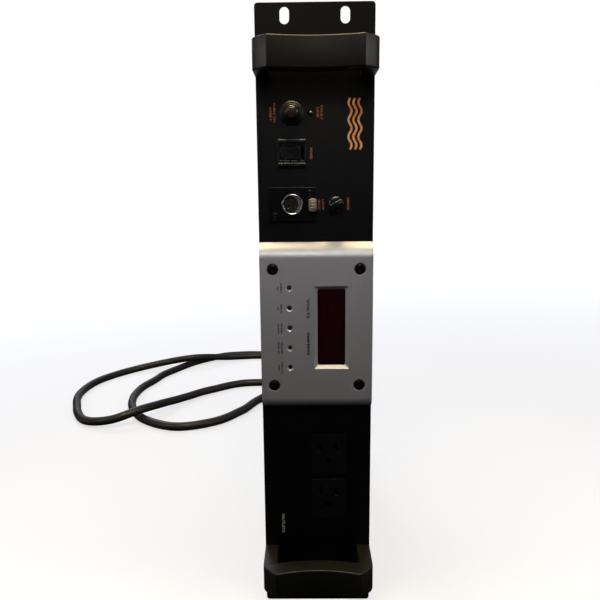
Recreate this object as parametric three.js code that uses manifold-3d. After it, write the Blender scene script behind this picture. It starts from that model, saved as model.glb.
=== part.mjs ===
// A two-unit, 19 inch rack power unit that stands on its end, with its mains lead on the floor behind.
//
// Millimetres, +Z up along the unit, +X to the right of someone facing its front panel. The face looks
// towards -Y. Pieces are placed from the front panel's outer face, which is Y = 0 inside `unit`; the
// unit is then centred front to back about Y = 0 of the part.
import * as THREE from "three";
import { mergeVertices } from "three/addons/utils/BufferGeometryUtils.js";
import Module from "manifold-3d";

const wasm = await Module();
wasm.setup();

// Driving dimensions.
const GAP = 0.3; // between pieces that touch
const PANEL = { length: 482.6, width: 88.1, thickness: 3, corner: 2.5 };
const MIDDLE = PANEL.length / 2;
const RACK_SLOT = { width: 7, length: 12.5, inset: 8.75, spacing: 44.45 };
const HANDLE = { from: 31, height: 21.5, half: 44, inner: 33, reach: 42, bevel: 0.8 };
const BEZEL = { width: 87.4, low: 176.5, high: 309.3, proud: 9, lowSlope: 8.6, highSlope: 12 };
const BEZEL_SCREW = { x: 33.6, low: 196.3, high: 288.9, head: 4.25, sunk: 2.6 };
const WINDOW = { x: 11.7, z: 242.7, width: 26.9, length: 66, bevel: 2.6, lens: 3 };
const LAMP_ROW = { x: -20.9, top: 274.4, pitch: 15.85, count: 5, hole: 1.8, sink: 1.3 };
const BREAKER = { x: -17.6, z: 405.2, collar: 9, button: 4.7 };
const ALARM = { x: -3.5, z: 405.1, radius: 2.2 };
const SWITCH = { x: -17.9, z: 376.2, width: 21, height: 20.6, pivot: 4 };
const SOCKET = { x: -17.8, z: 338, width: 36, height: 26, ring: 7.9, screwX: 13.4, screwZ: 8.6 };
const LATCH = { x: -2.4, z: 337.5, width: 6.2, height: 10 };
const DIMMER = { x: 15.4, z: 338, radius: 6, pointer: 25 };
const OUTLET = { x: 9.5, top: 134.2, pitch: 39, width: 28, height: 34.5 };
const CHASSIS = { width: 85, from: 22.3, to: 460.3, front: 3.3, back: 215, sheet: 1.2 };
const REAR_OUTLETS = { count: 8, first: 128, pitch: 42 };
const CORD = { diameter: 13, rest: 6.9, sides: 8, steps: 72 };
const EXIT = { x: 25, z: 62, length: 45 };
const PLUG = { length: 46, width: 30, height: 24 };
const REAR_MOST = 232;

// Finishes.
function finish(color, roughness, metalness) {
  return new THREE.MeshStandardMaterial({ color, roughness, metalness });
}
const paintedSteel = finish(0x17161a, 0.5, 0.3);
const castHandle = finish(0x262523, 0.45, 0.3);
const anodised = finish(0x8b8c95, 0.4, 0.9);
const blackScrew = finish(0x101012, 0.35, 0.7);
const steel = finish(0xb8b8ba, 0.3, 1);
const chrome = finish(0xd8d8da, 0.15, 1);
const brass = finish(0xb08d4a, 0.35, 1);
const blackNylon = finish(0x131316, 0.5, 0);
const buttonRed = finish(0x3a1c18, 0.35, 0);
const windowRed = finish(0x1c0308, 0.08, 0);
const lampLens = finish(0x2c2f33, 0.15, 0);
const board = finish(0x1f5a35, 0.5, 0);
const digits = finish(0x3a0c0c, 0.3, 0);
const ferrite = finish(0x3b4a2b, 0.6, 0);
const filmBlue = finish(0x2a5b8c, 0.4, 0);
const coreSteel = finish(0x50555c, 0.5, 0.8);
const jacket = finish(0x1b1a1c, 0.5, 0);

const part = new THREE.Group();
const unit = new THREE.Group();
unit.position.y = (HANDLE.reach - REAR_MOST) / 2;
part.add(unit);

function add(name, geometry, material, x = 0, y = 0, z = 0) {
  const mesh = new THREE.Mesh(geometry, material);
  mesh.name = name;
  mesh.position.set(x, y, z);
  unit.add(mesh);
}

// A solid that manifold-3d can cut and join, from a closed geometry.
function solid(geometry) {
  const bare = new THREE.BufferGeometry();
  bare.setAttribute("position", geometry.getAttribute("position"));
  bare.setIndex(geometry.index);
  const merged = mergeVertices(bare, 1e-4);
  return new wasm.Manifold(
    new wasm.Mesh({
      numProp: 3,
      vertProperties: merged.getAttribute("position").array,
      triVerts: new Uint32Array(merged.index.array),
    }),
  );
}

function geometryOf(manifold) {
  const mesh = manifold.getMesh();
  const geometry = new THREE.BufferGeometry();
  geometry.setAttribute("position", new THREE.BufferAttribute(mesh.vertProperties, 3));
  geometry.setIndex(new THREE.BufferAttribute(mesh.triVerts, 1));
  return geometry;
}

// The first geometry with the others cut from it.
function cut(geometry, ...cutters) {
  let left = solid(geometry);
  for (const cutter of cutters) left = left.subtract(solid(cutter));
  return geometryOf(left);
}

// All the geometries as one body.
function join(geometry, ...others) {
  let made = solid(geometry);
  for (const other of others) made = made.add(solid(other));
  return geometryOf(made);
}

// A block between two corners.
function block([x0, y0, z0], [x1, y1, z1]) {
  const geometry = new THREE.BoxGeometry(x1 - x0, y1 - y0, z1 - z0);
  return geometry.translate((x0 + x1) / 2, (y0 + y1) / 2, (z0 + z1) / 2);
}

// A rod along Y, round (x, z).
function rod(radius, y0, y1, x = 0, z = 0, sides = 20) {
  const geometry = new THREE.CylinderGeometry(radius, radius, y1 - y0, sides);
  return geometry.translate(x, (y0 + y1) / 2, z);
}

// A solid of revolution about Y, from [radius, y] pairs. A profile that is off the axis is a ring's.
function turned(profile, sides = 24) {
  let area = 0;
  profile.forEach(([r, y], i) => {
    const [nextR, nextY] = profile[(i + 1) % profile.length];
    area += r * nextY - nextR * y;
  });
  const isRing = profile[0][0] > 0;
  const closed = isRing ? [...profile, profile[0]] : profile;
  const points = closed.map(([r, y]) => new THREE.Vector2(r, y));
  return new THREE.LatheGeometry(area > 0 ? points : points.reverse(), sides);
}

// A rectangle with round corners in X and Z, about (x, z).
function roundedRectangle(width, height, radius, x = 0, z = 0) {
  const outline = new THREE.Shape();
  const right = x + width / 2;
  const top = z + height / 2;
  const left = x - width / 2;
  const bottom = z - height / 2;
  outline.moveTo(left + radius, bottom);
  outline.lineTo(right - radius, bottom);
  outline.absarc(right - radius, bottom + radius, radius, -Math.PI / 2, 0);
  outline.lineTo(right, top - radius);
  outline.absarc(right - radius, top - radius, radius, 0, Math.PI / 2);
  outline.lineTo(left + radius, top);
  outline.absarc(left + radius, top - radius, radius, Math.PI / 2, Math.PI);
  outline.lineTo(left, bottom + radius);
  outline.absarc(left + radius, bottom + radius, radius, Math.PI, 1.5 * Math.PI);
  return outline;
}

// An outline in X and Z given thickness along Y.
function plate(outline, y0, y1, curveSegments = 2) {
  const geometry = new THREE.ExtrudeGeometry(outline, {
    depth: y1 - y0,
    bevelEnabled: false,
    curveSegments,
  });
  return geometry.rotateX(Math.PI / 2).translate(0, y1, 0);
}

// A frustum with rectangular ends, along Y: size0 at y0 and size1 at y1.
function frustum([width0, height0], y0, [width1, height1], y1, x, z) {
  const geometry = new THREE.BoxGeometry(2, 2, 2);
  const place = geometry.getAttribute("position");
  for (let i = 0; i < place.count; i++) {
    const far = place.getY(i) > 0;
    const halfWidth = (far ? width1 : width0) / 2;
    const halfHeight = (far ? height1 : height0) / 2;
    place.setXYZ(i, x + place.getX(i) * halfWidth, far ? y1 : y0, z + place.getZ(i) * halfHeight);
  }
  return geometry;
}

// Front panel: four rack slots and a hole behind everything that is mounted in it.
function frontPanel() {
  const outline = roundedRectangle(PANEL.width, PANEL.length, PANEL.corner, 0, MIDDLE);
  const through = [-1, PANEL.thickness + 1];
  const slots = [];
  for (const side of [-1, 1]) {
    for (const z of [RACK_SLOT.inset, PANEL.length - RACK_SLOT.inset]) {
      const slot = [RACK_SLOT.width, RACK_SLOT.length, RACK_SLOT.width / 2 - 0.01];
      slots.push(plate(roundedRectangle(...slot, (side * RACK_SLOT.spacing) / 2, z), ...through));
    }
  }
  const holes = [
    rod(5.6, ...through, BREAKER.x, BREAKER.z),
    rod(ALARM.radius + GAP, ...through, ALARM.x, ALARM.z, 16),
    block([SWITCH.x - 9.9, -1, SWITCH.z - 8.9], [SWITCH.x + 9.9, 4, SWITCH.z + 8.9]),
    rod(11.5, ...through, SOCKET.x, SOCKET.z),
    block([LATCH.x - 2.4, -1, LATCH.z - 3.4], [LATCH.x + 2.4, 4, LATCH.z + 3.4]),
    rod(3.6, ...through, DIMMER.x, DIMMER.z, 20),
    block([-25, -1, 205], [27.5, 4, 279.5]),
  ];
  for (const z of [OUTLET.top, OUTLET.top - OUTLET.pitch]) {
    holes.push(block([OUTLET.x - 13, -1, z - 16.2], [OUTLET.x + 13, 4, z + 16.2]));
  }
  for (const side of [-1, 1]) {
    for (const z of handleMiddles()) {
      holes.push(rod(2.8, ...through, side * handleScrewX(), z, 12));
    }
    const x = SOCKET.x + side * SOCKET.screwX;
    holes.push(rod(1.6, ...through, x, SOCKET.z + side * SOCKET.screwZ, 12));
  }
  return cut(plate(outline, 0, PANEL.thickness), ...slots, ...holes);
}

function handleMiddles() {
  const low = HANDLE.from + HANDLE.height / 2;
  return [low, PANEL.length - low];
}

function handleScrewX() {
  return HANDLE.inner + 3.2;
}

// Handle: two legs and a bar whose front and back faces bow towards the panel, with 45 degree corners.
function handle() {
  const { half, inner, height, reach, bevel } = HANDLE;
  const shoulder = reach - 10;
  const back = reach - 15.5;
  const outline = new THREE.Shape();
  outline.moveTo(-half, -GAP);
  outline.lineTo(-half, -shoulder);
  outline.lineTo(-inner, -reach);
  outline.quadraticCurveTo(0, 10 - reach, inner, -reach);
  outline.lineTo(half, -shoulder);
  outline.lineTo(half, -GAP);
  outline.lineTo(inner, -GAP);
  outline.lineTo(inner, -back);
  outline.quadraticCurveTo(0, 8 - back, -inner, -back);
  outline.lineTo(-inner, -GAP);
  const bar = new THREE.ExtrudeGeometry(outline, {
    depth: height - 2 * bevel,
    bevelThickness: bevel,
    bevelSize: bevel,
    bevelOffset: -bevel,
    bevelSegments: 1,
    curveSegments: 8,
  }).translate(0, 0, bevel);
  const tapped = [-1, 1].map((side) => rod(2.3, -14, 1, side * handleScrewX(), height / 2, 12));
  return cut(bar, ...tapped);
}

// Pan head screw from behind the panel into a handle leg, its axis along Y.
function handleScrew() {
  const head = PANEL.thickness + GAP;
  const shank = 2;
  return turned(
    [
      [0, -12],
      [shank - 0.6, -12],
      [shank, -11],
      [shank, head],
      [3.7, head],
      [3.4, head + 2.2],
      [0, head + 2.8],
    ],
    12,
  );
}

// Centre bezel: a thick plate with sloped ends, hollowed behind for the meter.
function centreBezel() {
  const { low, high, proud, lowSlope, highSlope } = BEZEL;
  const rim = GAP + 1;
  const outline = new THREE.Shape();
  outline.moveTo(-GAP, low);
  outline.lineTo(-GAP, high);
  outline.lineTo(-rim, high);
  outline.quadraticCurveTo(-proud, high - highSlope / 2, -proud, high - highSlope);
  outline.lineTo(-proud, low + lowSlope);
  outline.quadraticCurveTo(-proud, low + lowSlope / 3, -rim, low);
  const turn = new THREE.Matrix4().makeBasis(
    new THREE.Vector3(0, 1, 0),
    new THREE.Vector3(0, 0, 1),
    new THREE.Vector3(1, 0, 0),
  );
  const bar = new THREE.ExtrudeGeometry(outline, {
    depth: BEZEL.width,
    bevelEnabled: false,
    curveSegments: 5,
  });
  bar.applyMatrix4(turn).translate(-BEZEL.width / 2, 0, 0);
  const { x, z, width, length, bevel, lens } = WINDOW;
  const inside = [width - 2 * bevel, length - 2 * bevel];
  const face = -proud;
  const more = 0.5;
  const cutters = [
    frustum(
      [width + 2 * more, length + 2 * more],
      face - more,
      [inside[0], inside[1]],
      face + bevel,
      x,
      z,
    ),
    plate(roundedRectangle(...inside, 1.6, x, z), face + bevel - 0.2, 1),
    block([-25, face + lens, 206], [27.5, 1, 279]),
  ];
  for (let i = 0; i < LAMP_ROW.count; i++) {
    const sink = countersink(LAMP_ROW.hole, face, LAMP_ROW.sink - more);
    cutters.push(rod(LAMP_ROW.hole, face - 1, 1, LAMP_ROW.x, lampZ(i), 16));
    cutters.push(sink.translate(LAMP_ROW.x, 0, lampZ(i)));
  }
  for (const [sx, sz] of screwPlaces()) {
    const bore = BEZEL_SCREW.head + GAP;
    cutters.push(rod(bore, face - 1, face + BEZEL_SCREW.sunk, sx, sz));
    cutters.push(countersink(bore, face, 0.4).translate(sx, 0, sz));
    cutters.push(rod(2.4, face - 1, 1, sx, sz, 12));
  }
  return cut(bar, ...cutters);
}

// A 45 degree cone that widens a hole over the given depth below a face that looks along -Y.
function countersink(radius, face, depth) {
  const above = 0.5;
  return turned(
    [
      [0, face - above],
      [radius + depth + above, face - above],
      [radius, face + depth],
      [0, face + depth],
    ],
    20,
  );
}

function lampZ(i) {
  return LAMP_ROW.top - i * LAMP_ROW.pitch;
}

function screwPlaces() {
  const { x, low, high } = BEZEL_SCREW;
  return [high, low].flatMap((z) => [
    [-x, z],
    [x, z],
  ]);
}

// Bezel screw: a low domed head with a hexagon socket, its axis along Y.
function bezelScrew() {
  const face = -BEZEL.proud;
  const head = turned(
    [
      [0, -1],
      [2, -1],
      [2, face + 2.3],
      [BEZEL_SCREW.head, face + 2.3],
      [BEZEL_SCREW.head, face + 0.5],
      [BEZEL_SCREW.head - 0.7, face - 0.2],
      [0, face - 0.3],
    ],
    20,
  );
  const socket = rod(1.3, face - 1, face + 1, 0, 0, 6);
  return cut(head, socket);
}

// Meter: window, board and the digit modules that look out through it.
function meterWindow() {
  const face = -BEZEL.proud + WINDOW.lens + GAP;
  const size = [WINDOW.width - 2, WINDOW.length - 2];
  return plate(roundedRectangle(...size, 1.5, WINDOW.x, WINDOW.z), face, face + 1.6);
}

function indicatorLamp() {
  return turned(
    [
      [0, 4],
      [1.9, 4],
      [1.9, 3],
      [1.5, 3],
      [1.5, -6],
      [1.3, -6.9],
      [0.7, -7.5],
      [0, -7.7],
    ],
    12,
  );
}

// Circuit breaker: a ringed collar on the panel, a body behind it and a domed push button.
function breakerCollar() {
  return turned([
    [5.0, -GAP],
    [BREAKER.collar, -GAP],
    [BREAKER.collar, -1.6],
    [BREAKER.collar - 1.2, -3.2],
    [6.6, -3.8],
    [5.9, -4.6],
    [5.7, -7],
    [5.0, -7],
  ]);
}

function breakerButton() {
  return turned([
    [0, 2.2],
    [BREAKER.button, 2.2],
    [BREAKER.button, -8.6],
    [BREAKER.button - 0.6, -9.7],
    [2.6, -10.4],
    [0, -10.6],
  ]);
}

function breakerBody() {
  const neck = rod(5.3, 0.4, 7);
  const bored = rod(BREAKER.button + GAP, -1, 6.2);
  return cut(join(neck, block([-8, 6, -17], [8, 40, 17])), bored);
}

// Power switch: a framed body with two guards, and a rocker that tips about Z.
function switchFrame() {
  const halfWidth = SWITCH.width / 2;
  const halfHeight = SWITCH.height / 2;
  const rim = block([-halfWidth, -1.9, -halfHeight], [halfWidth, -GAP, halfHeight]);
  const guardMiddle = halfHeight - 1.8;
  const guards = [-guardMiddle, guardMiddle].map((z) =>
    block([-halfWidth, -3.4, z - 1.1], [halfWidth, -1, z + 1.1]),
  );
  const body = block([-9.5, -1, -8.5], [9.5, 28, 8.5]);
  const well = block([-8.9, -5, -5.2], [8.9, 13, 5.2]);
  return cut(join(rim, body, ...guards), well);
}

// The rocker's outline in X and Y about its pivot: two flats that meet in a shallow valley.
function rocker() {
  const outline = new THREE.Shape();
  outline.moveTo(-7.6, -7.2);
  outline.lineTo(0, -5.7);
  outline.lineTo(7.6, -7.2);
  outline.lineTo(6.9, -2);
  outline.absarc(0, 0, 5.2, -0.25, Math.PI + 0.25, false);
  outline.lineTo(-6.9, -2);
  const bevel = 0.4;
  return new THREE.ExtrudeGeometry(outline, {
    depth: 9.8 - 2 * bevel,
    bevelThickness: bevel,
    bevelSize: bevel,
    bevelOffset: -bevel,
    bevelSegments: 1,
    curveSegments: 5,
  })
    .translate(0, 0, bevel - 4.9)
    .rotateZ(THREE.MathUtils.degToRad(-8));
}

// Lamp socket: square flange, chromed ring, three-hole insert and a release tab.
function socketFlange() {
  const outline = roundedRectangle(SOCKET.width, SOCKET.height, 1.2);
  const latchX = LATCH.x - SOCKET.x;
  const latchZ = LATCH.z - SOCKET.z;
  const cutters = [
    rod(SOCKET.ring + GAP, -4, 1),
    block([latchX - 2.4, -4, latchZ - 3.4], [latchX + 2.4, 1, latchZ + 3.4]),
  ];
  for (const side of [-1, 1]) {
    cutters.push(rod(2.9, -4, -1.1, side * SOCKET.screwX, side * SOCKET.screwZ, 16));
    cutters.push(rod(1.6, -4, 1, side * SOCKET.screwX, side * SOCKET.screwZ, 12));
  }
  return cut(plate(outline, -2.3, -GAP), ...cutters);
}

function socketRing() {
  const outer = SOCKET.ring;
  return turned([
    [outer - 1.2, -3.4],
    [outer - 0.9, -3.9],
    [outer - 0.3, -3.9],
    [outer, -3.4],
    [outer, 14],
    [outer - 1.2, 14],
  ]);
}

function socketInsert() {
  const radius = SOCKET.ring - 1.2 - GAP;
  const body = turned([
    [0, -1.2],
    [radius - 0.4, -1.2],
    [radius, -0.8],
    [radius, 14.4],
    [10.5, 14.4],
    [10.5, 24],
    [0, 24],
  ]);
  const pins = [90, 210, 330].map((degrees) => {
    const angle = THREE.MathUtils.degToRad(degrees);
    return rod(1.3, -2, 10, 3.7 * Math.cos(angle), 3.7 * Math.sin(angle), 12);
  });
  return cut(body, ...pins);
}

function socketScrew() {
  return turned(
    [
      [0, 5],
      [1.3, 5],
      [1.3, -1.4],
      [2.6, -1.4],
      [2.4, -2.5],
      [0, -2.8],
    ],
    16,
  );
}

function socketLatch() {
  const tab = plate(roundedRectangle(LATCH.width, LATCH.height, 1.8), -5.6, -3.9);
  return join(tab, block([-2, -4.5, -3], [2, 5, 3]));
}

// Dimmer: a round knob with a raised grip bar, on the shaft of a control behind the panel.
function dimmerKnob() {
  const base = turned(
    [
      [0, -0.6],
      [DIMMER.radius, -0.6],
      [DIMMER.radius, -3.2],
      [DIMMER.radius - 0.9, -4.2],
      [0, -4.2],
    ],
    20,
  );
  const grip = plate(roundedRectangle(2 * DIMMER.radius - 0.6, 4.2, 1.4), -9, -3.6);
  grip.rotateY(THREE.MathUtils.degToRad(-DIMMER.pointer));
  return cut(join(base, grip), rod(2.9, -3.2, 1, 0, 0, 20));
}

function dimmerControl() {
  return join(rod(2.6, -2.9, 4, 0, 0, 20), rod(3.2, 0.5, 6, 0, 0, 20), rod(8, 5.5, 15, 0, 0, 24));
}

// Three-pole outlet: a flange that stands on the panel and a body through it. Its faces are at the
// given depth, and the two blades are above the round earth hole.
function outlet(face) {
  const { width, height } = OUTLET;
  const flange = plate(roundedRectangle(width, height, 2, 0, 0), face - 1.8, face - GAP);
  const body = block([-12.6, face - 1, -15.8], [12.6, face + 24, 15.8]);
  const cutters = [
    block([-7.4, face - 3, 2.3], [-5.3, face + 9, 10.2]),
    block([5.3, face - 3, 3], [7.4, face + 9, 9.5]),
    rod(2.5, face - 3, face + 9, 0, -5.6, 16),
  ];
  return cut(join(flange, body), ...cutters);
}

// Chassis: a folded tray with end walls, a top cover with vents, and a rear panel.
function chassisTray() {
  const { width, from, to, front, back, sheet } = CHASSIS;
  const low = -width / 2;
  const high = width / 2 - sheet - GAP;
  const flange = 10;
  return join(
    block([low, front, from], [low + sheet, back, to]),
    block([low, front, from], [high, back, from + sheet]),
    block([low, front, to - sheet], [high, back, to]),
    block([low, front, from], [high, front + sheet, from + flange]),
    block([low, front, to - flange], [high, front + sheet, to]),
  );
}

function topCover() {
  const { width, from, to, front, back, sheet } = CHASSIS;
  const face = width / 2 - sheet;
  const lid = block([face, front, from], [face + sheet, back, to]);
  const slots = [];
  for (let row = 0; row < 2; row++) {
    for (let i = 0; i < 12; i++) {
      const y = 60 + row * 80;
      const z = MIDDLE - 110 + i * 20;
      slots.push(block([face - 1, y, z - 2.5], [face + 3, y + 50, z + 2.5]));
    }
  }
  return cut(lid, ...slots);
}

function rearOutletZ(i) {
  return REAR_OUTLETS.first + i * REAR_OUTLETS.pitch;
}

function rearPanel() {
  const { width, from, to, back, sheet } = CHASSIS;
  const halfWidth = width / 2 - sheet - GAP;
  const face = back - sheet;
  const board = block([-halfWidth, face, from + sheet + GAP], [halfWidth, back, to - sheet - GAP]);
  const cutters = [
    rod(8.3, face - 1, back + 1, EXIT.x, EXIT.z),
    rod(4.3, face - 1, back + 1, -22, EXIT.z, 16),
  ];
  for (let i = 0; i < REAR_OUTLETS.count; i++) {
    const z = rearOutletZ(i);
    cutters.push(block([-13, face - 1, z - 16.2], [13, back + 1, z + 16.2]));
  }
  return cut(board, ...cutters);
}

// Strain relief: a collar on the rear panel and a tapered sleeve that the lead leaves along +Y.
function strainRelief() {
  const { back } = CHASSIS;
  const tip = back + EXIT.length;
  return turned([
    [0, back - 8],
    [8, back - 8],
    [8, back + GAP],
    [13, back + GAP],
    [13, back + 5],
    [10.5, back + 8],
    [7.6, tip],
    [0, tip],
  ]);
}

function groundPost() {
  const { back } = CHASSIS;
  return turned(
    [
      [0, back - 9],
      [4, back - 9],
      [4, back + GAP],
      [7, back + GAP],
      [7, back + 3],
      [4, back + 3],
      [4, back + 6],
      [8, back + 6],
      [8, REAR_MOST - 1],
      [7, REAR_MOST],
      [0, REAR_MOST],
    ],
    20,
  );
}

// A part on the filter board, its axis along Y and its foot at y1.
function toroid(y0, y1) {
  return turned(
    [
      [8, y0],
      [17, y0],
      [18, y0 + 1],
      [18, y1 - 1],
      [17, y1],
      [8, y1],
    ],
    20,
  );
}

// Mains lead: each point of its route [x, y, z], from the strain relief to the plug. It drops to the
// floor, turns back under itself, makes a small loop, turns behind the unit and makes a large loop that
// passes twice over the small one.
const rest = CORD.rest;
const ROUTE = [
  [EXIT.x, CHASSIS.back + EXIT.length + GAP, EXIT.z],
  [25, 300, 60],
  [28, 355, 31],
  [35, 408, 8.2],
  [40, 450, rest],
  [37, 492, rest],
  [19, 531, rest],
  [-22, 548, rest],
  [-63, 530, rest],
  [-88, 486, rest],
  [-110, 440, rest],
  [-147, 391, rest],
  [-202, 371, rest],
  [-256, 399, rest],
  [-294, 462, rest],
  [-303, 535, rest],
  [-284, 612, rest],
  [-245, 696, rest],
  [-182, 757, rest],
  [-85, 768, rest],
  [0, 760, rest],
  [52, 716, rest],
  [54, 646, rest],
  [6, 594, rest],
  [-68, 578, rest],
  [-130, 570, rest],
  [-174, 538, 7.1],
  [-220, 484, 10],
  [-264, 404, 21],
  [-303, 383, 13.5],
  [-345, 395, 7.4],
  [-381, 452, rest],
  [-401, 524, rest],
  [-392, 594, rest],
  [-350, 656, 7.4],
  [-290, 684, 14.5],
  [-236, 693, 21],
  [-170, 737, 9.6],
  [-98, 752, 7.4],
  [-38, 731, 10],
];

function cordCurve() {
  const points = ROUTE.map((place) => new THREE.Vector3(...place));
  const curve = new THREE.CatmullRomCurve3(points, false, "centripetal");
  curve.arcLengthDivisions = 2000;
  return curve;
}

function powerCord(curve) {
  const section = new THREE.Shape();
  section.absarc(0, 0, CORD.diameter / 2, 0, 2 * Math.PI);
  return new THREE.ExtrudeGeometry(section, {
    steps: CORD.steps,
    extrudePath: curve,
    bevelEnabled: false,
    curveSegments: CORD.sides / 2,
  });
}

// Three-pin plug along +X, its cord end at the origin: a tapered grip, two blades and a round pin.
function plug() {
  const { length, width, height } = PLUG;
  const grip = new THREE.Shape();
  grip.moveTo(0, -8);
  grip.lineTo(length * 0.45, -width / 2);
  grip.lineTo(length, -width / 2);
  grip.lineTo(length, width / 2);
  grip.lineTo(length * 0.45, width / 2);
  grip.lineTo(0, 8);
  const bevel = 3;
  const body = new THREE.ExtrudeGeometry(grip, {
    depth: height - 2 * bevel,
    bevelThickness: bevel,
    bevelSize: bevel,
    bevelOffset: -bevel,
    bevelSegments: 2,
  }).translate(0, 0, bevel - height / 2);
  const blades = [-1, 1].map((side) =>
    block([length - 1, side * 6.35 - 0.75, -1], [length + 16, side * 6.35 + 0.75, 5.5]),
  );
  const pin = rod(2.4, length - 1, length + 19, 0, -8, 14);
  pin.rotateZ(-Math.PI / 2);
  return join(body, ...blades, pin);
}

// The whole unit, piece by piece.
add("front_panel", frontPanel(), paintedSteel);
add("lower_handle", handle(), castHandle, 0, 0, HANDLE.from);
add("upper_handle", handle(), castHandle, 0, 0, PANEL.length - HANDLE.from - HANDLE.height);
let screwNumber = 0;
for (const z of handleMiddles()) {
  for (const side of [-1, 1]) {
    screwNumber += 1;
    add(`handle_screw_${screwNumber}`, handleScrew(), steel, side * handleScrewX(), 0, z);
  }
}

add("centre_bezel", centreBezel(), anodised);
screwPlaces().forEach(([x, z], i) => {
  add(`bezel_screw_${i + 1}`, bezelScrew(), blackScrew, x, 0, z);
});
add("meter_window", meterWindow(), windowRed);
add("meter_board", block([-24, 4.5, 207], [26.5, 6.1, 277.5]), board);
add("volt_digits", block([1, -3.8, 244], [22.4, 4.2, 272]), digits);
add("amp_digits", block([1, -3.8, 214], [22.4, 4.2, 242]), digits);
for (let i = 0; i < LAMP_ROW.count; i++) {
  add(`indicator_lamp_${i + 1}`, indicatorLamp(), lampLens, LAMP_ROW.x, 0, lampZ(i));
}

add("breaker_collar", breakerCollar(), blackNylon, BREAKER.x, 0, BREAKER.z);
add("breaker_button", breakerButton(), buttonRed, BREAKER.x, 0, BREAKER.z);
add("breaker_body", breakerBody(), blackNylon, BREAKER.x, 0, BREAKER.z);
add("alarm_lamp", rod(ALARM.radius, -0.8, 9, 0, 0, 16), lampLens, ALARM.x, 0, ALARM.z);
add("switch_frame", switchFrame(), blackNylon, SWITCH.x, 0, SWITCH.z);
add("switch_rocker", rocker(), blackNylon, SWITCH.x, SWITCH.pivot, SWITCH.z);
add("lamp_socket_flange", socketFlange(), paintedSteel, SOCKET.x, 0, SOCKET.z);
add("lamp_socket_ring", socketRing(), chrome, SOCKET.x, 0, SOCKET.z);
add("lamp_socket_insert", socketInsert(), blackNylon, SOCKET.x, 0, SOCKET.z);
add("lamp_socket_latch", socketLatch(), steel, LATCH.x, 0, LATCH.z);
[-1, 1].forEach((side, i) => {
  const x = SOCKET.x + side * SOCKET.screwX;
  add(`lamp_socket_screw_${i + 1}`, socketScrew(), blackScrew, x, 0, SOCKET.z + side * SOCKET.screwZ);
});
add("dimmer_knob", dimmerKnob(), blackNylon, DIMMER.x, 0, DIMMER.z);
add("dimmer_control", dimmerControl(), coreSteel, DIMMER.x, 0, DIMMER.z);
for (let i = 0; i < 2; i++) {
  add(`front_outlet_${i + 1}`, outlet(0), blackNylon, OUTLET.x, 0, OUTLET.top - i * OUTLET.pitch);
}

add("chassis_tray", chassisTray(), paintedSteel);
add("top_cover", topCover(), paintedSteel);
add("rear_panel", rearPanel(), paintedSteel);
for (let i = 0; i < REAR_OUTLETS.count; i++) {
  const facingBack = outlet(0).rotateZ(Math.PI);
  add(`rear_outlet_${i + 1}`, facingBack, blackNylon, 0, CHASSIS.back, rearOutletZ(i));
}
add("strain_relief", strainRelief(), blackNylon, EXIT.x, 0, EXIT.z);
add("ground_post", groundPost(), brass, -22, 0, EXIT.z);

add("filter_board", block([-36, 120, 60], [-34.4, 180, 380]), board);
add("filter_choke_1", toroid(-11, 11).rotateZ(Math.PI / 2), ferrite, -22, 150, 100);
add("filter_choke_2", toroid(-11, 11).rotateZ(Math.PI / 2), ferrite, -22, 150, 150);
add("filter_capacitor_1", block([-34, 130, 190], [-6, 166, 212]), filmBlue);
add("filter_capacitor_2", block([-34, 130, 222], [-6, 166, 244]), filmBlue);
add("delay_relay", block([-34, 132, 262], [-4, 162, 292]), blackNylon);
add("meter_transformer", block([-34, 128, 310], [6, 172, 360]), coreSteel);

const lead = cordCurve();
add("power_cord", powerCord(lead), jacket);
const end = lead.getPoint(1);
const heading = lead.getTangent(1);
const plugMesh = new THREE.Mesh(plug(), jacket);
plugMesh.name = "cord_plug";
plugMesh.position.copy(end).addScaledVector(heading, GAP);
plugMesh.position.z = PLUG.height / 2 + GAP;
plugMesh.rotation.z = Math.atan2(heading.y, heading.x);
unit.add(plugMesh);

export default part;
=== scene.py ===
"""A two-unit rack power unit that stands on its end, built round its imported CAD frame.

Lengths are in metres, in the frame of the CAD: +Z up along the unit, -Y out of its front panel, and +X
to the right of someone who faces the panel. Text and controls run down the panel, because the side that
is uppermost in a rack is at +X here.
"""

import math

import bmesh
import bpy
import numpy as np
from bpy.props import FloatProperty, FloatVectorProperty, IntProperty, PointerProperty
from mathutils import Matrix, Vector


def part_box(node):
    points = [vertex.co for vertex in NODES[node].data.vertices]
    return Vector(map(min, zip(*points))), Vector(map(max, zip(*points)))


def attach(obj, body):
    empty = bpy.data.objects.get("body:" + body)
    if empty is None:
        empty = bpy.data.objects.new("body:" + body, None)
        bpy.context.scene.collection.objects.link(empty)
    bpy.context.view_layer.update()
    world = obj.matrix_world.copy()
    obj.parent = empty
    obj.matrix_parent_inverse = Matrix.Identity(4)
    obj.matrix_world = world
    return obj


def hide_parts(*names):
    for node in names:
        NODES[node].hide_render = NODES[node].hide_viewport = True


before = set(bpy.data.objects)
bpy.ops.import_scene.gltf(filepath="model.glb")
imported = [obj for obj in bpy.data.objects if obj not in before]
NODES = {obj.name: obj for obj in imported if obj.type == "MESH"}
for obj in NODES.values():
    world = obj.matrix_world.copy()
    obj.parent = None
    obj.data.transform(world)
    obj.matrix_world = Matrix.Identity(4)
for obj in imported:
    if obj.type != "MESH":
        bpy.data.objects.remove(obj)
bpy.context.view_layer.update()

bl_info = {
    "name": "Rack power unit",
    "version": (1, 0, 0),
    "blender": (4, 5, 0),
    "location": "View3D > Sidebar > Rack power unit",
    "description": "Builds the looks of a two-unit rack power unit round its CAD frame",
    "category": "Object",
}

MM = 0.001

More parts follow.
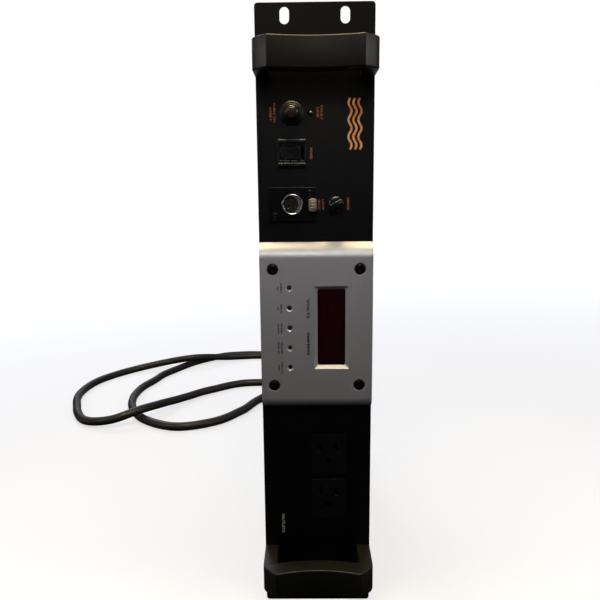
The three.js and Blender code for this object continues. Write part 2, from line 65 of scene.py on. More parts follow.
# Where the camera stands, in metres, and how it looks, in degrees.
CAMERA_PLACE = (-0.0068, -0.5603, 0.3488)
CAMERA_TURN = {"yaw": 0.74, "down": 10.38, "roll": -0.58}
CAMERA_LENS = 36.0

# The mains lead's route from the strain relief to its plug, in millimetres from the front panel's face.
PANEL_FACE = -95.0
RESTING = 6.9
ROUTE = [
    (25, 260.3, 62),
    (25, 300, 60),
    (28, 355, 31),
    (35, 408, 8.2),
    (40, 450, RESTING),
    (37, 492, RESTING),
    (19, 531, RESTING),
    (-22, 548, RESTING),
    (-63, 530, RESTING),
    (-88, 486, RESTING),
    (-110, 440, RESTING),
    (-147, 391, RESTING),
    (-202, 371, RESTING),
    (-256, 399, RESTING),
    (-294, 462, RESTING),
    (-303, 535, RESTING),
    (-284, 612, RESTING),
    (-245, 696, RESTING),
    (-182, 757, RESTING),
    (-85, 768, RESTING),
    (0, 760, RESTING),
    (52, 716, RESTING),
    (54, 646, RESTING),
    (6, 594, RESTING),
    (-68, 578, RESTING),
    (-130, 570, RESTING),
    (-174, 538, 7.1),
    (-220, 484, 10),
    (-264, 404, 21),
    (-303, 383, 13.5),
    (-345, 395, 7.4),
    (-381, 452, RESTING),
    (-401, 524, RESTING),
    (-392, 594, RESTING),
    (-350, 656, 7.4),
    (-290, 684, 14.5),
    (-236, 693, 21),
    (-170, 737, 9.6),
    (-98, 752, 7.4),
    (-38, 731, 10),
]


# Measures and colours.


def linear(code):
    """The linear RGB and alpha of an sRGB hex colour: v / 12.92 up to 0.04045, else
    ((v + 0.055) / 1.055) ** 2.4."""
    value = np.array([int(code[i : i + 2], 16) / 255 for i in (1, 3, 5)])
    straight = value / 12.92
    curved = ((value + 0.055) / 1.055) ** 2.4
    return (*np.where(value <= 0.04045, straight, curved).tolist(), 1.0)


def middle(node):
    """Middle of a CAD node's box, as an array."""
    low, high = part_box(node)
    return (np.array(low) + np.array(high)) / 2


def span(node):
    """Size of a CAD node's box, as an array."""
    low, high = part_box(node)
    return np.array(high) - np.array(low)


# Surfaces.


def rounded_corners(points, cut, steps=6, closed=False):
    """A line through points with its corners rounded: corner p gives way to the parabola
    (1-t)^2 a + 2t(1-t) p + t^2 b, where a and b lie at the given cut from p on its two sides."""
    corner = np.asarray(points, float)
    before = np.roll(corner, 1, axis=0) - corner
    after = np.roll(corner, -1, axis=0) - corner
    reach_before = np.linalg.norm(before, axis=1, keepdims=True)
    reach_after = np.linalg.norm(after, axis=1, keepdims=True)
    cut = np.broadcast_to(np.asarray(cut, float).reshape(-1, 1), reach_before.shape)
    start = corner + before / reach_before * np.minimum(cut, 0.49 * reach_before)
    end = corner + after / reach_after * np.minimum(cut, 0.49 * reach_after)
    t = np.linspace(0, 1, steps)[None, :, None]
    arcs = (1 - t) ** 2 * start[:, None] + 2 * t * (1 - t) * corner[:, None] + t**2 * end[:, None]
    line = arcs.reshape(-1, 2)
    if not closed:
        line = np.concatenate([corner[:1], arcs[1:-1].reshape(-1, 2), corner[-1:]])
    step = np.linalg.norm(line - np.roll(line, 1, axis=0), axis=1)
    return line[step > 1e-7]


def turned(profile, centre, sides=64, share=1.0):
    """Surface of revolution about the line along Y through centre: (r, y) of the profile goes to
    (x + r s cos u, y, z + r s sin u), where s is 1 or a share that varies with u."""
    u = np.linspace(0, 2 * math.pi, sides, endpoint=False)[:, None]
    radius, y = np.asarray(profile, float).T
    radius = radius * share
    return np.stack([centre[0] + radius * np.cos(u), y + 0 * u, centre[2] + radius * np.sin(u)], axis=-1)


def carried(outline, profile):
    """An outline carried along a profile: point o goes to o - m * inset at each (inset, depth), where
    m = (a + b) / (1 + a.b) is the mitre of the outward normals a and b of the two sides that meet at o. The
    last axis is (the outline's first direction, its second, depth)."""
    along = np.roll(outline, -1, axis=0) - outline
    after = np.stack([along[:, 1], -along[:, 0]], axis=1)
    after /= np.linalg.norm(after, axis=1, keepdims=True)
    before = np.roll(after, 1, axis=0)
    normal = (before + after) / (1 + np.sum(before * after, axis=1, keepdims=True))
    inset, depth = np.asarray(profile, float).T
    place = outline[:, None] - normal[:, None] * inset[None, :, None]
    return np.concatenate([place, np.broadcast_to(depth[None, :, None], (*place.shape[:2], 1))], axis=2)


def facing_front(grid):
    """A carried grid (across, up, depth) as points with its depth along Y."""
    return grid[:, :, [0, 2, 1]]


def rounded_rectangle(width, height, corner, centre=(0, 0), steps=8):
    """Outline of a rectangle with rounded corners, anticlockwise in its own plane."""
    half = np.array([width, height]) / 2
    signs = np.array([(-1, -1), (1, -1), (1, 1), (-1, 1)])
    return rounded_corners(signs * half + np.array(centre), corner, steps, closed=True)


def edge(depth0, depth1, round_off, steps=5):
    """Profile of a plate's rim from depth0 to depth1, with a quarter round at the second."""
    angle = np.linspace(0, math.pi / 2, steps)
    way = math.copysign(round_off, depth1 - depth0)
    rounds = np.stack([round_off * (1 - np.cos(angle)), depth1 - way * (1 - np.sin(angle))], axis=1)
    return np.concatenate([[(0, depth0)], rounds])


def shell(grid, ring=False):
    """Vertices and faces of a grid whose first direction goes round. A ring joins its profile's ends,
    and any other shell has each end closed by one flat face."""
    around, along = grid.shape[:2]
    index = np.arange(around * along).reshape(around, along)
    beside = np.roll(index, -1, axis=0)
    if ring:
        here, there = (index, beside), (np.roll(index, -1, axis=1), np.roll(beside, -1, axis=1))
    else:
        here, there = (index[:, :-1], beside[:, :-1]), (index[:, 1:], beside[:, 1:])
    faces = np.stack([here[0], here[1], there[1], there[0]], axis=-1).reshape(-1, 4).tolist()
    if not ring:
        faces += [index[::-1, 0].tolist(), index[:, -1].tolist()]
    return grid.reshape(-1, 3), faces


def dress(obj, material, body, stands_for):
    """Gives a finished piece its material and its body, and hides the CAD nodes that it stands for."""
    obj.data.materials.clear()
    obj.data.materials.append(material)
    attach(obj, body)
    if stands_for:
        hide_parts(*stands_for)
    return obj


def piece(name, shells, material, body="chassis", stands_for=(), crease=35):
    """One object from shells. Its doubles are merged, its faces look outwards, and it is smooth except at
    edges sharper than the crease, in degrees."""
    vertices = np.concatenate([points for points, _ in shells])
    starts = np.cumsum([0] + [len(points) for points, _ in shells])
    faces = [[i + start for i in face] for (_, own), start in zip(shells, starts) for face in own]
    mesh = bpy.data.meshes.new(name)
    mesh.from_pydata(vertices.tolist(), [], faces)
    work = bmesh.new()
    work.from_mesh(mesh)
    bmesh.ops.remove_doubles(work, verts=work.verts, dist=1e-6)
    bmesh.ops.recalc_face_normals(work, faces=work.faces)
    work.to_mesh(mesh)
    work.free()
    mesh.shade_smooth()
    mesh.set_sharp_from_angle(angle=math.radians(crease))
    obj = bpy.data.objects.new(name, mesh)
    bpy.context.scene.collection.objects.link(obj)
    return dress(obj, material, body, stands_for)


def eased(node, name, material, body="chassis", width=0.3 * MM, segments=2):
    """A copy of a CAD node with its edges eased: its triangles are merged, flat neighbours become one face,
    and a bevel rounds each edge sharper than 40 degrees."""
    mesh = NODES[node].data.copy()
    mesh.name = name
    work = bmesh.new()
    work.from_mesh(mesh)
    bmesh.ops.remove_doubles(work, verts=work.verts, dist=2e-6)
    bmesh.ops.dissolve_limit(work, angle_limit=math.radians(1), verts=work.verts, edges=work.edges)
    work.to_mesh(mesh)
    work.free()
    mesh.shade_smooth()
    mesh.set_sharp_from_angle(angle=math.radians(40))
    obj = bpy.data.objects.new(name, mesh)
    bpy.context.scene.collection.objects.link(obj)
    bevel = obj.modifiers.new("Eased edges", "BEVEL")
    bevel.width = width
    bevel.segments = segments
    bevel.limit_method = "ANGLE"
    bevel.angle_limit = math.radians(40)
    bevel.harden_normals = True
    flat = obj.modifiers.new("Flat faces", "WEIGHTED_NORMAL")
    flat.keep_sharp = True
    return dress(obj, material, body, (node,))


# Finishes.


def add_node(tree, kind, settings=None, links=None):
    """Adds one shader node. A setting's key is an input socket's name or number, or a property's name, and
    a link's key is an input socket's name or number."""
    made = tree.nodes.new(kind)
    for key, value in (settings or {}).items():
        if isinstance(key, int) or key in made.inputs:
            made.inputs[key].default_value = value
        else:
            setattr(made, key, value)
    for key, source in (links or {}).items():
        tree.links.new(source, made.inputs[key])
    return made


def finish(
    name,
    light,
    dark,
    gloss=(0.35, 0.5),
    drift=30 * MM,
    grain=1.2 * MM,
    relief=0.03 * MM,
    stretch=(1, 1, 1),
    metallic=0.0,
    **shader,
):
    """A surface that drifts between two colours over one distance, and whose gloss and skin vary with a
    grain of another. The stretch draws the grain out along an axis, as brushing or drawing does."""
    material = bpy.data.materials.get(name)
    if material:
        return material
    material = bpy.data.materials.new(name)
    material.use_nodes = True
    tree = material.node_tree
    tree.nodes.clear()
    place = add_node(tree, "ShaderNodeTexCoord").outputs["Object"]
    wide = add_node(tree, "ShaderNodeTexNoise", {"Scale": 1 / drift, "Detail": 3.0}, {"Vector": place})
    drawn = add_node(tree, "ShaderNodeMapping", {"Scale": stretch}, {"Vector": place})
    fine = add_node(
        tree,
        "ShaderNodeTexNoise",
        {"Scale": 1 / grain, "Detail": 2.0, "Roughness": 0.6},
        {"Vector": drawn.outputs["Vector"]},
    )
    both = add_node(
        tree,
        "ShaderNodeMath",
        {"operation": "MULTIPLY"},
        {0: wide.outputs["Fac"], 1: fine.outputs["Fac"]},
    )
    share = add_node(
        tree,
        "ShaderNodeMapRange",
        {"From Min": 0.12, "From Max": 0.4},
        {"Value": both.outputs["Value"]},
    )
    colour = add_node(
        tree,
        "ShaderNodeMix",
        {"data_type": "RGBA", 6: linear(light), 7: linear(dark)},
        {0: share.outputs["Result"]},
    )
    rough = add_node(
        tree,
        "ShaderNodeMapRange",
        {"From Min": 0.3, "From Max": 0.7, "To Min": gloss[0], "To Max": gloss[1]},
        {"Value": fine.outputs["Fac"]},
    )
    skin = add_node(
        tree,
        "ShaderNodeBump",
        {"Strength": 1.0, "Distance": relief},
        {"Height": fine.outputs["Fac"]},
    )
    settings = {"Metallic": metallic, **{key.replace("_", " "): value for key, value in shader.items()}}
    surface = add_node(
        tree,
        "ShaderNodeBsdfPrincipled",
        settings,
        {
            "Base Color": colour.outputs[2],
            "Roughness": rough.outputs["Result"],
            "Normal": skin.outputs["Normal"],
        },
    )
    add_node(tree, "ShaderNodeOutputMaterial", {}, {"Surface": surface.outputs["BSDF"]})
    return material


def powder_coat():
    """Black powder coat on sheet steel: a fine orange peel that breaks up its soft gloss."""
    return finish(
        "powder_coated_steel",
        "#050508",
        "#09090c",
        (0.28, 0.38),
        40 * MM,
        1.1 * MM,
        0.012 * MM,
        Specular_IOR_Level=0.25,
    )


def handle_paint():
    """Satin stoving paint on die-cast zinc: smoother and greyer than the panel."""
    return finish(
        "painted_die_casting",
        "#10100f",
        "#191814",
        (0.34, 0.46),
        25 * MM,
        0.9 * MM,
        0.012 * MM,
        Specular_IOR_Level=0.3,
    )


def bezel_metal():
    """Bead-blasted, clear anodised aluminium: a bluish grey with a soft sparkle and no brush marks."""
    return finish(
        "anodised_aluminium", "#a1a2a9", "#96979e", (0.38, 0.48), 60 * MM, 0.8 * MM, 0.006 * MM, metallic=0.45
    )


def black_steel():
    """Black oxide on steel: nearly black, with a bare metal gleam where light strikes it."""
    return finish("black_oxide_steel", "#1a1a1b", "#0e0e0f", (0.22, 0.4), 6 * MM, 0.7 * MM, metallic=0.8)


def zinc_plate():
    """Bright zinc plate on small screws: light grey and slightly uneven."""
    return finish("zinc_plated_steel", "#b9babd", "#8f9094", (0.2, 0.38), 5 * MM, 0.8 * MM, metallic=1.0)


def chrome_plate():
    """Satin nickel-chrome on the socket's ring: a bright ring with a faint turned grain."""
    return finish(
        "satin_chrome", "#dcdad6", "#bdbab4", (0.16, 0.26), 8 * MM, 0.6 * MM, 0.004 * MM, metallic=1.0
    )


def latch_plate():
    """Warm nickel on the release tab, dulled where thumbs rub it."""
    return finish(
        "rubbed_nickel", "#a8948e", "#857570", (0.34, 0.5), 4 * MM, 0.8 * MM, 0.01 * MM, metallic=0.9
    )


def brass():
    """Turned brass with light tarnish in patches."""
    return finish("tarnished_brass", "#c69a52", "#8a6428", (0.24, 0.42), 6 * MM, 0.8 * MM, metallic=1.0)


def nylon():
    """Moulded black nylon with a spark-eroded texture: dull, with a fine pebble."""
    return finish(
        "moulded_nylon",
        "#08080a",
        "#050506",
        (0.4, 0.55),
        20 * MM,
        0.9 * MM,
        0.02 * MM,
        Specular_IOR_Level=0.3,
    )


def gloss_nylon():
    """Polished black nylon of parts that a finger moves: deep black with clean highlights."""
    return finish("polished_nylon", "#121417", "#0b0c0e", (0.16, 0.3), 12 * MM, 1.5 * MM, 0.006 * MM)


def phenolic():
    """Moulded brown phenolic of the breaker's button, glossy like varnish."""
    return finish("brown_phenolic", "#3a2420", "#261614", (0.1, 0.2), 4 * MM, 1.2 * MM, 0.004 * MM, IOR=1.6)


def smoked_acrylic():
    """Polished red acrylic so dark that unlit digits barely show through it."""
    return finish(
        "smoked_red_acrylic",
        "#6a1432",
        "#5a0e28",
        (0.04, 0.08),
        50 * MM,
        6 * MM,
        0.002 * MM,
        Transmission_Weight=0.9,
        IOR=1.49,
    )


def lamp_epoxy():
    """Tinted epoxy of an unlit lamp: a dark dome with a small clear highlight."""
    return finish("lamp_epoxy", "#1d2023", "#101214", (0.06, 0.14), 3 * MM, 1 * MM, 0.002 * MM, IOR=1.55)


def digit_face():
    """Grey plastic face of a digit module behind the window."""
    return finish("digit_module_face", "#3a2325", "#281719", (0.3, 0.45), 10 * MM, 1.5 * MM, 0.01 * MM)


def segment_epoxy():
    """Milky epoxy of unlit digit segments."""
    return finish("unlit_segment", "#c8a7a2", "#a98a86", (0.25, 0.4), 4 * MM, 1 * MM, 0.004 * MM)


def circuit_board():
    """Green solder mask on glass epoxy, with the weave just showing."""
    return finish("solder_masked_board", "#1f5a35", "#174628", (0.25, 0.4), 8 * MM, 1 * MM, 0.01 * MM)


def ferrite():
    """Painted ferrite ring of a choke: green, coarse and matt."""
    return finish("painted_ferrite", "#4b5d38", "#33402a", (0.5, 0.7), 6 * MM, 1.4 * MM, 0.05 * MM)


def film_case():
    """Blue moulded case of a film capacitor."""
    return finish("capacitor_case", "#2a5b8c", "#1f4a76", (0.2, 0.35), 8 * MM, 1.5 * MM, 0.01 * MM)


def core_iron():
    """Varnished steel laminations, drawn out as fine lines along one side."""
    return finish(
        "steel_laminations",
        "#5a5f66",
        "#3b3f45",
        (0.35, 0.5),
        12 * MM,
        0.8 * MM,
        0.04 * MM,
        stretch=(1, 1, 0.1),
        metallic=0.7,
    )


def lead_jacket():
    """Extruded black PVC of the mains lead: a brown-black skin, scuffed dull along its run."""
    return finish("pvc_jacket", "#24221f", "#171615", (0.32, 0.52), 25 * MM, 1.6 * MM, 0.05 * MM)


def plug_rubber():
    """Moulded PVC of the plug and the strain relief: softer and duller than the jacket."""
    return finish("moulded_pvc", "#1c1b1a", "#121211", (0.45, 0.62), 15 * MM, 1.2 * MM, 0.05 * MM)


def black_ink():
    """Black pad-printed ink, with slightly starved patches."""
    return finish("black_ink", "#0c0c0d", "#1d1d20", (0.5, 0.65), 3 * MM, 0.8 * MM, 0.004 * MM)


def orange_ink():
    """Thin orange pad-printed ink that lets the black under it through."""
    return finish("orange_ink", "#b8674a", "#84473a", (0.5, 0.65), 3 * MM, 0.8 * MM, 0.004 * MM)


def copper_ink():
    """Copper pigment ink of the emblem: flecks of pale gold in orange."""
    return finish("copper_ink", "#f0b47c", "#c4622a", (0.35, 0.5), 9 * MM, 1.6 * MM, 0.004 * MM)


def grey_ink():
    """Worn grey ink of the knob's pointer, hardly lighter than the knob."""
    return finish("grey_ink", "#4a4b4e", "#2e2f31", (0.3, 0.5), 3 * MM, 0.8 * MM, 0.004 * MM)


def white_ink():
    """White pad-printed ink of the small marks."""
    return finish("white_ink", "#c9c9c4", "#a8a8a4", (0.5, 0.65), 3 * MM, 0.8 * MM, 0.004 * MM)


# Sizes that a user may change.


class RackUnitSizes(bpy.types.PropertyGroup):
    lead_diameter: FloatProperty(
        name="Lead diameter",
        description="Outer diameter of the mains lead",
        default=13 * MM,
        min=8 * MM,
        max=14 * MM,
        unit="LENGTH",
    )
    lead_twist: FloatProperty(
        name="Lead twist",
        description="Length over which the lead's three cores turn once under its jacket",
        default=85 * MM,
        min=30 * MM,
        unit="LENGTH",
    )
    handle_round: FloatProperty(
        name="Handle edge round",
        description="Radius of the handles' long edges",
        default=1.1 * MM,
        min=0.2 * MM,
        max=2 * MM,
        unit="LENGTH",
    )
    ink_thickness: FloatProperty(
        name="Ink thickness",
        description="How far printed marks stand on the surface that they are printed on",
        default=0.04 * MM,
        min=0.01 * MM,
        max=0.2 * MM,
        unit="LENGTH",
    )
    boot_ribs: IntProperty(
        name="Strain relief ribs",
        description="Number of ribs on the strain relief's sleeve",
        default=9,
        min=3,
        max=14,
    )
    emblem_waves: IntProperty(
        name="Emblem waves",
        description="Number of waves in the printed emblem",
        default=3,
        min=1,
        max=5,
    )


class RackUnitColours(bpy.types.PropertyGroup):
    floor: FloatVectorProperty(
        name="Floor",
        description="Colour of the studio floor",
        subtype="COLOR",
        size=4,
        min=0,
        max=1,
        default=linear("#a6abb6"),
    )
    overhead: FloatVectorProperty(
        name="Overhead light",
        description="Colour of the large light above the unit",
        subtype="COLOR",
        size=3,
        min=0,
        max=1,
        default=linear("#ffe6ae")[:3],
    )


def sizes():
    return bpy.context.scene.rack_unit_sizes


def colours():
    return bpy.context.scene.rack_unit_colours


# Lettering and marks.


def print_on(shell_points, at, depth, mirrored=False):
    """Points (reading direction, up, thickness) laid on a face across Y: on the front they read along -Z
    with +X up, and on the back, mirrored, along +Z."""
    reading, up, thickness = shell_points.T
    way = 1 if mirrored else -1
    outward = -way
    x = at[0] + up
    z = at[1] + way * reading
    y = depth - outward * thickness
    return np.stack([x, y, z], axis=1)


def letters(text, length, height, at, depth, mirrored=False, weight=0.02):
    """A word as a shell: Blender's own letters made a mesh, then scaled to a length and a height."""
    curve = bpy.data.curves.new("word", "FONT")
    curve.body = text
    curve.extrude = 0.5
    curve.resolution_u = 3
    curve.offset = weight
    obj = bpy.data.objects.new("word", curve)
    mesh = bpy.data.meshes.new_from_object(obj)
    points = np.zeros(len(mesh.vertices) * 3)
    mesh.vertices.foreach_get("co", points)
    points = points.reshape(-1, 3)
    faces = [list(face.vertices) for face in mesh.polygons]
    low, high = points.min(axis=0), points.max(axis=0)
    size = np.array([length, height, sizes().ink_thickness])
    points = ((points - low) / (high - low) - (0.5, 0.5, 0)) * size
    bpy.data.objects.remove(obj)
    bpy.data.curves.remove(curve)
    bpy.data.meshes.remove(mesh)
    return print_on(points, at, depth, mirrored), faces


def stroke(line, width, at, depth):
    """A printed stroke: a line of (reading, up) points given width w, as p + n w/2 and p - n w/2 where n is
    the line's normal, and the ink's thickness."""
    along = np.gradient(line, axis=0)
    normal = np.stack([-along[:, 1], along[:, 0]], axis=1)
    normal /= np.linalg.norm(normal, axis=1, keepdims=True)
    left = line + normal * width / 2
    right = line - normal * width / 2
    thick = sizes().ink_thickness
    corners = [(left, 0), (right, 0), (right, thick), (left, thick)]
    rows = [np.column_stack([side, np.full(len(side), lift)]) for side, lift in corners]
    grid = np.stack([print_on(row, at, depth) for row in rows])
    return shell(grid)


# Stage.


class RACKUNIT_OT_stage(bpy.types.Operator):
    """Camera, floor, lights and surroundings"""

    bl_idname = "rackunit.stage"
    bl_label = "Stage"

    def execute(self, context):
        scene = context.scene
        scene.view_settings.view_transform = "Standard"
        camera_data = bpy.data.cameras.new("camera")
        camera_data.lens = CAMERA_LENS
        camera_data.sensor_width = 36.0
        camera = bpy.data.objects.new("camera", camera_data)
        scene.collection.objects.link(camera)
        turn = {key: math.radians(value) for key, value in CAMERA_TURN.items()}
        camera.matrix_world = (
            Matrix.Translation(CAMERA_PLACE)
            @ Matrix.Rotation(turn["yaw"], 4, "Z")
            @ Matrix.Rotation(math.pi / 2 - turn["down"], 4, "X")
            @ Matrix.Rotation(turn["roll"], 4, "Z")
        )
        scene.camera = camera
        self.floor(scene)
        self.lights(scene)
        self.surroundings(scene)
        return {"FINISHED"}

    def floor(self, scene):
        """A wide grey floor, lit mostly by its own glow, so that shadows on it stay soft."""
        half = 6.0
        corners = [(-half, -half, 0), (half, -half, 0), (half, half, 0), (-half, half, 0)]
        mesh = bpy.data.meshes.new("studio_floor")
        mesh.from_pydata(corners, [], [(0, 1, 2, 3)])
        floor = bpy.data.objects.new("studio_floor", mesh)
        scene.collection.objects.link(floor)
        material = bpy.data.materials.new("white_paper")
        material.use_nodes = True
        tree = material.node_tree
        tree.nodes.clear()
        place = add_node(tree, "ShaderNodeTexCoord").outputs["Object"]
        distance = add_node(tree, "ShaderNodeVectorMath", {"operation": "LENGTH"}, {0: place})
        glow = add_node(
            tree,
            "ShaderNodeMapRange",
            {"From Min": 0.5, "From Max": 2.2, "To Min": 0.64, "To Max": 0.97},
            {"Value": distance.outputs["Value"]},
        )
        surface = add_node(
            tree,
            "ShaderNodeBsdfPrincipled",
            {
                "Base Color": colours().floor,
                "Roughness": 0.9,
                "Emission Color": (1, 1, 1, 1),
            },
            {"Emission Strength": glow.outputs["Result"]},
        )
        add_node(tree, "ShaderNodeOutputMaterial", {}, {"Surface": surface.outputs["BSDF"]})
        mesh.materials.append(material)
        floor.visible_glossy = False
        floor.visible_diffuse = False
        floor.visible_transmission = False

    def lights(self, scene):
        """A warm softbox above the front panel, a small one that lights its face from above, one at each side
        of the upper handle, a weak fill from the front, and a large cool one behind the unit."""
        handle = (0, -0.1, 0.4)
        side_size = (0.3, 0.3)
        above = colours().overhead
        narrow = 0.6
        self.softbox(scene, "overhead", (0, -0.17, 0.84), (0, -0.12, 0.2), (0.4, 0.14), 5.2, above)
        self.softbox(
            scene, "face", (0, -0.42, 0.56), (0, -0.1, 0.3), (0.16, 0.06), 0.034, (1, 0.97, 0.92), narrow
        )
        self.softbox(scene, "left_side", (-0.95, -0.36, 0.62), handle, side_size, 1.5, (1, 0.97, 0.88))
        self.softbox(scene, "right_side", (0.95, -0.33, 0.62), handle, side_size, 1.9, (0.98, 0.92, 0.92))
        self.softbox(scene, "behind", (-0.9, 1.7, 1.5), (0, 0.2, 0.2), (1.2, 1.2), 12, (0.8, 0.8, 1))
        self.softbox(scene, "front", (-0.4, -1.7, 1.1), (0, 0, 0.25), (1.2, 0.8), 1.0, (0.9, 0.92, 1))

    def softbox(self, scene, name, place, target, size, power, colour, spread=math.pi):
        """A rectangular area light that faces its target, its light kept within a cone as wide as its
        spread."""
        data = bpy.data.lights.new(name, "AREA")
        data.shape = "RECTANGLE"
        data.size, data.size_y = size
        data.energy = power
        data.color = colour
        data.spread = spread
        light = bpy.data.objects.new(name, data)
        scene.collection.objects.link(light)
        light.visible_camera = False
        way = np.array(target) - np.array(place)
        turn = math.atan2(way[1], way[0])
        tilt = math.atan2(np.hypot(way[0], way[1]), -way[2])
        light.matrix_world = (
            Matrix.Translation(place)
            @ Matrix.Rotation(turn - math.pi / 2, 4, "Z")
            @ Matrix.Rotation(tilt, 4, "X")
        )

    def surroundings(self, scene):
        """White where the camera looks, and for the light on the unit a dim room with a pale ceiling and with
        grey walls at its sides and behind it."""
        world = bpy.data.worlds.new("studio")
        world.use_nodes = True
        scene.world = world
        tree = world.node_tree
        tree.nodes.clear()
        way = add_node(tree, "ShaderNodeTexCoord").outputs["Generated"]
        height = add_node(tree, "ShaderNodeSeparateXYZ", {}, {"Vector": way})
        room = add_node(
            tree,
            "ShaderNodeMapRange",
            {"From Min": 0.0, "From Max": 0.9, "To Min": 0.016, "To Max": 0.27},
            {"Value": height.outputs["Z"]},
        )
        sideways = add_node(tree, "ShaderNodeMath", {"operation": "ABSOLUTE"}, {0: height.outputs["X"]})
        walls = ((sideways.outputs["Value"], 0.82, 0.22), (height.outputs["Y"], 0.75, 0.3))
        for way_out, start, strength in walls:
            wall = add_node(
                tree,
                "ShaderNodeMapRange",
                {"From Min": start, "From Max": 1.0, "To Min": 0.0, "To Max": strength},
                {"Value": way_out},
            )
            room = add_node(
                tree,
                "ShaderNodeMath",
                {"operation": "ADD"},
                {0: room.outputs[0], 1: wall.outputs["Result"]},
            )
        pale = {"Color": (0.95, 0.96, 1, 1)}
        dim = add_node(tree, "ShaderNodeBackground", pale, {"Strength": room.outputs[0]})
        white = add_node(tree, "ShaderNodeBackground", {"Color": (1, 1, 1, 1), "Strength": 1.0})
        seen = add_node(tree, "ShaderNodeLightPath").outputs["Is Camera Ray"]
        mixed = add_node(
            tree,
            "ShaderNodeMixShader",
            {},
            {0: seen, 1: dim.outputs["Background"], 2: white.outputs["Background"]},
        )
        add_node(tree, "ShaderNodeOutputWorld", {}, {"Surface": mixed.outputs["Shader"]})


# Mains lead.


def lead_centreline(steps=24):
    """Points of the centripetal Catmull-Rom curve through the route: each span from p1 to p2 is the cubic
    whose end slopes are those of the curve through p0, p1, p2 and p3 with knots spaced by the square root
    of the distances. The route is lengthened past each end by its mirror image."""
    route = np.array(ROUTE, float)
    route[:, 1] += PANEL_FACE
    route *= MM
    padded = np.vstack([2 * route[0] - route[1], route, 2 * route[-1] - route[-2]])
    p0, p1, p2, p3 = padded[:-3], padded[1:-2], padded[2:-1], padded[3:]
    d0 = np.sqrt(np.linalg.norm(p1 - p0, axis=1, keepdims=True))
    d1 = np.sqrt(np.linalg.norm(p2 - p1, axis=1, keepdims=True))
    d2 = np.sqrt(np.linalg.norm(p3 - p2, axis=1, keepdims=True))
    slope1 = ((p1 - p0) / d0 - (p2 - p0) / (d0 + d1) + (p2 - p1) / d1) * d1
    slope2 = ((p2 - p1) / d1 - (p3 - p1) / (d1 + d2) + (p3 - p2) / d2) * d1
    t = np.linspace(0, 1, steps, endpoint=False)[None, :, None]
    first, last = p1[:, None], p2[:, None]
    slope1, slope2 = slope1[:, None], slope2[:, None]
    points = (
        first
        + slope1 * t
        + (3 * (last - first) - 2 * slope1 - slope2) * t**2
        + (2 * (first - last) + slope1 + slope2) * t**3
    )
    return np.concatenate([points.reshape(-1, 3), route[-1:]])


def even_spacing(points, gap):
    """The same line with its points at equal distances of about the gap, and the distance of each."""
    run = np.concatenate([[0], np.cumsum(np.linalg.norm(np.diff(points, axis=0), axis=1))])
    count = int(run[-1] / gap)
    at = np.linspace(0, run[-1], count + 1)
    return np.stack([np.interp(at, run, points[:, axis]) for axis in range(3)], axis=1), at


def level_frames(points):
    """At each point of a line, a unit vector along it, one level and to its side, and one across both."""
    along = np.gradient(points, axis=0)
    along /= np.linalg.norm(along, axis=1, keepdims=True)
    side = np.cross(along, (0, 0, 1))
    side /= np.linalg.norm(side, axis=1, keepdims=True)
    return along, side, np.cross(side, along)


def set_in_waves(points, at):
    """Moves each point sideways by A sin(2 pi s / 104 mm), as a lead that was once wound up lies. A is at
    most 3.5 mm, less where the lead already bends, and nothing near its ends."""
    along, side, _ = level_frames(points)
    turn = np.linalg.norm(np.gradient(along, axis=0), axis=1) / np.gradient(at)
    turn = np.convolve(np.pad(turn, 12, "edge"), np.full(25, 1 / 25), "valid")
    ends = np.clip(np.minimum(at - 0.12, at[-1] - 0.12 - at) / 0.08, 0, 1)
    reach = 3.5 * MM * ends * np.clip(1 - turn * 0.2, 0, 1)
    return points + (reach * np.sin(2 * math.pi * at / (104 * MM)))[:, None] * side


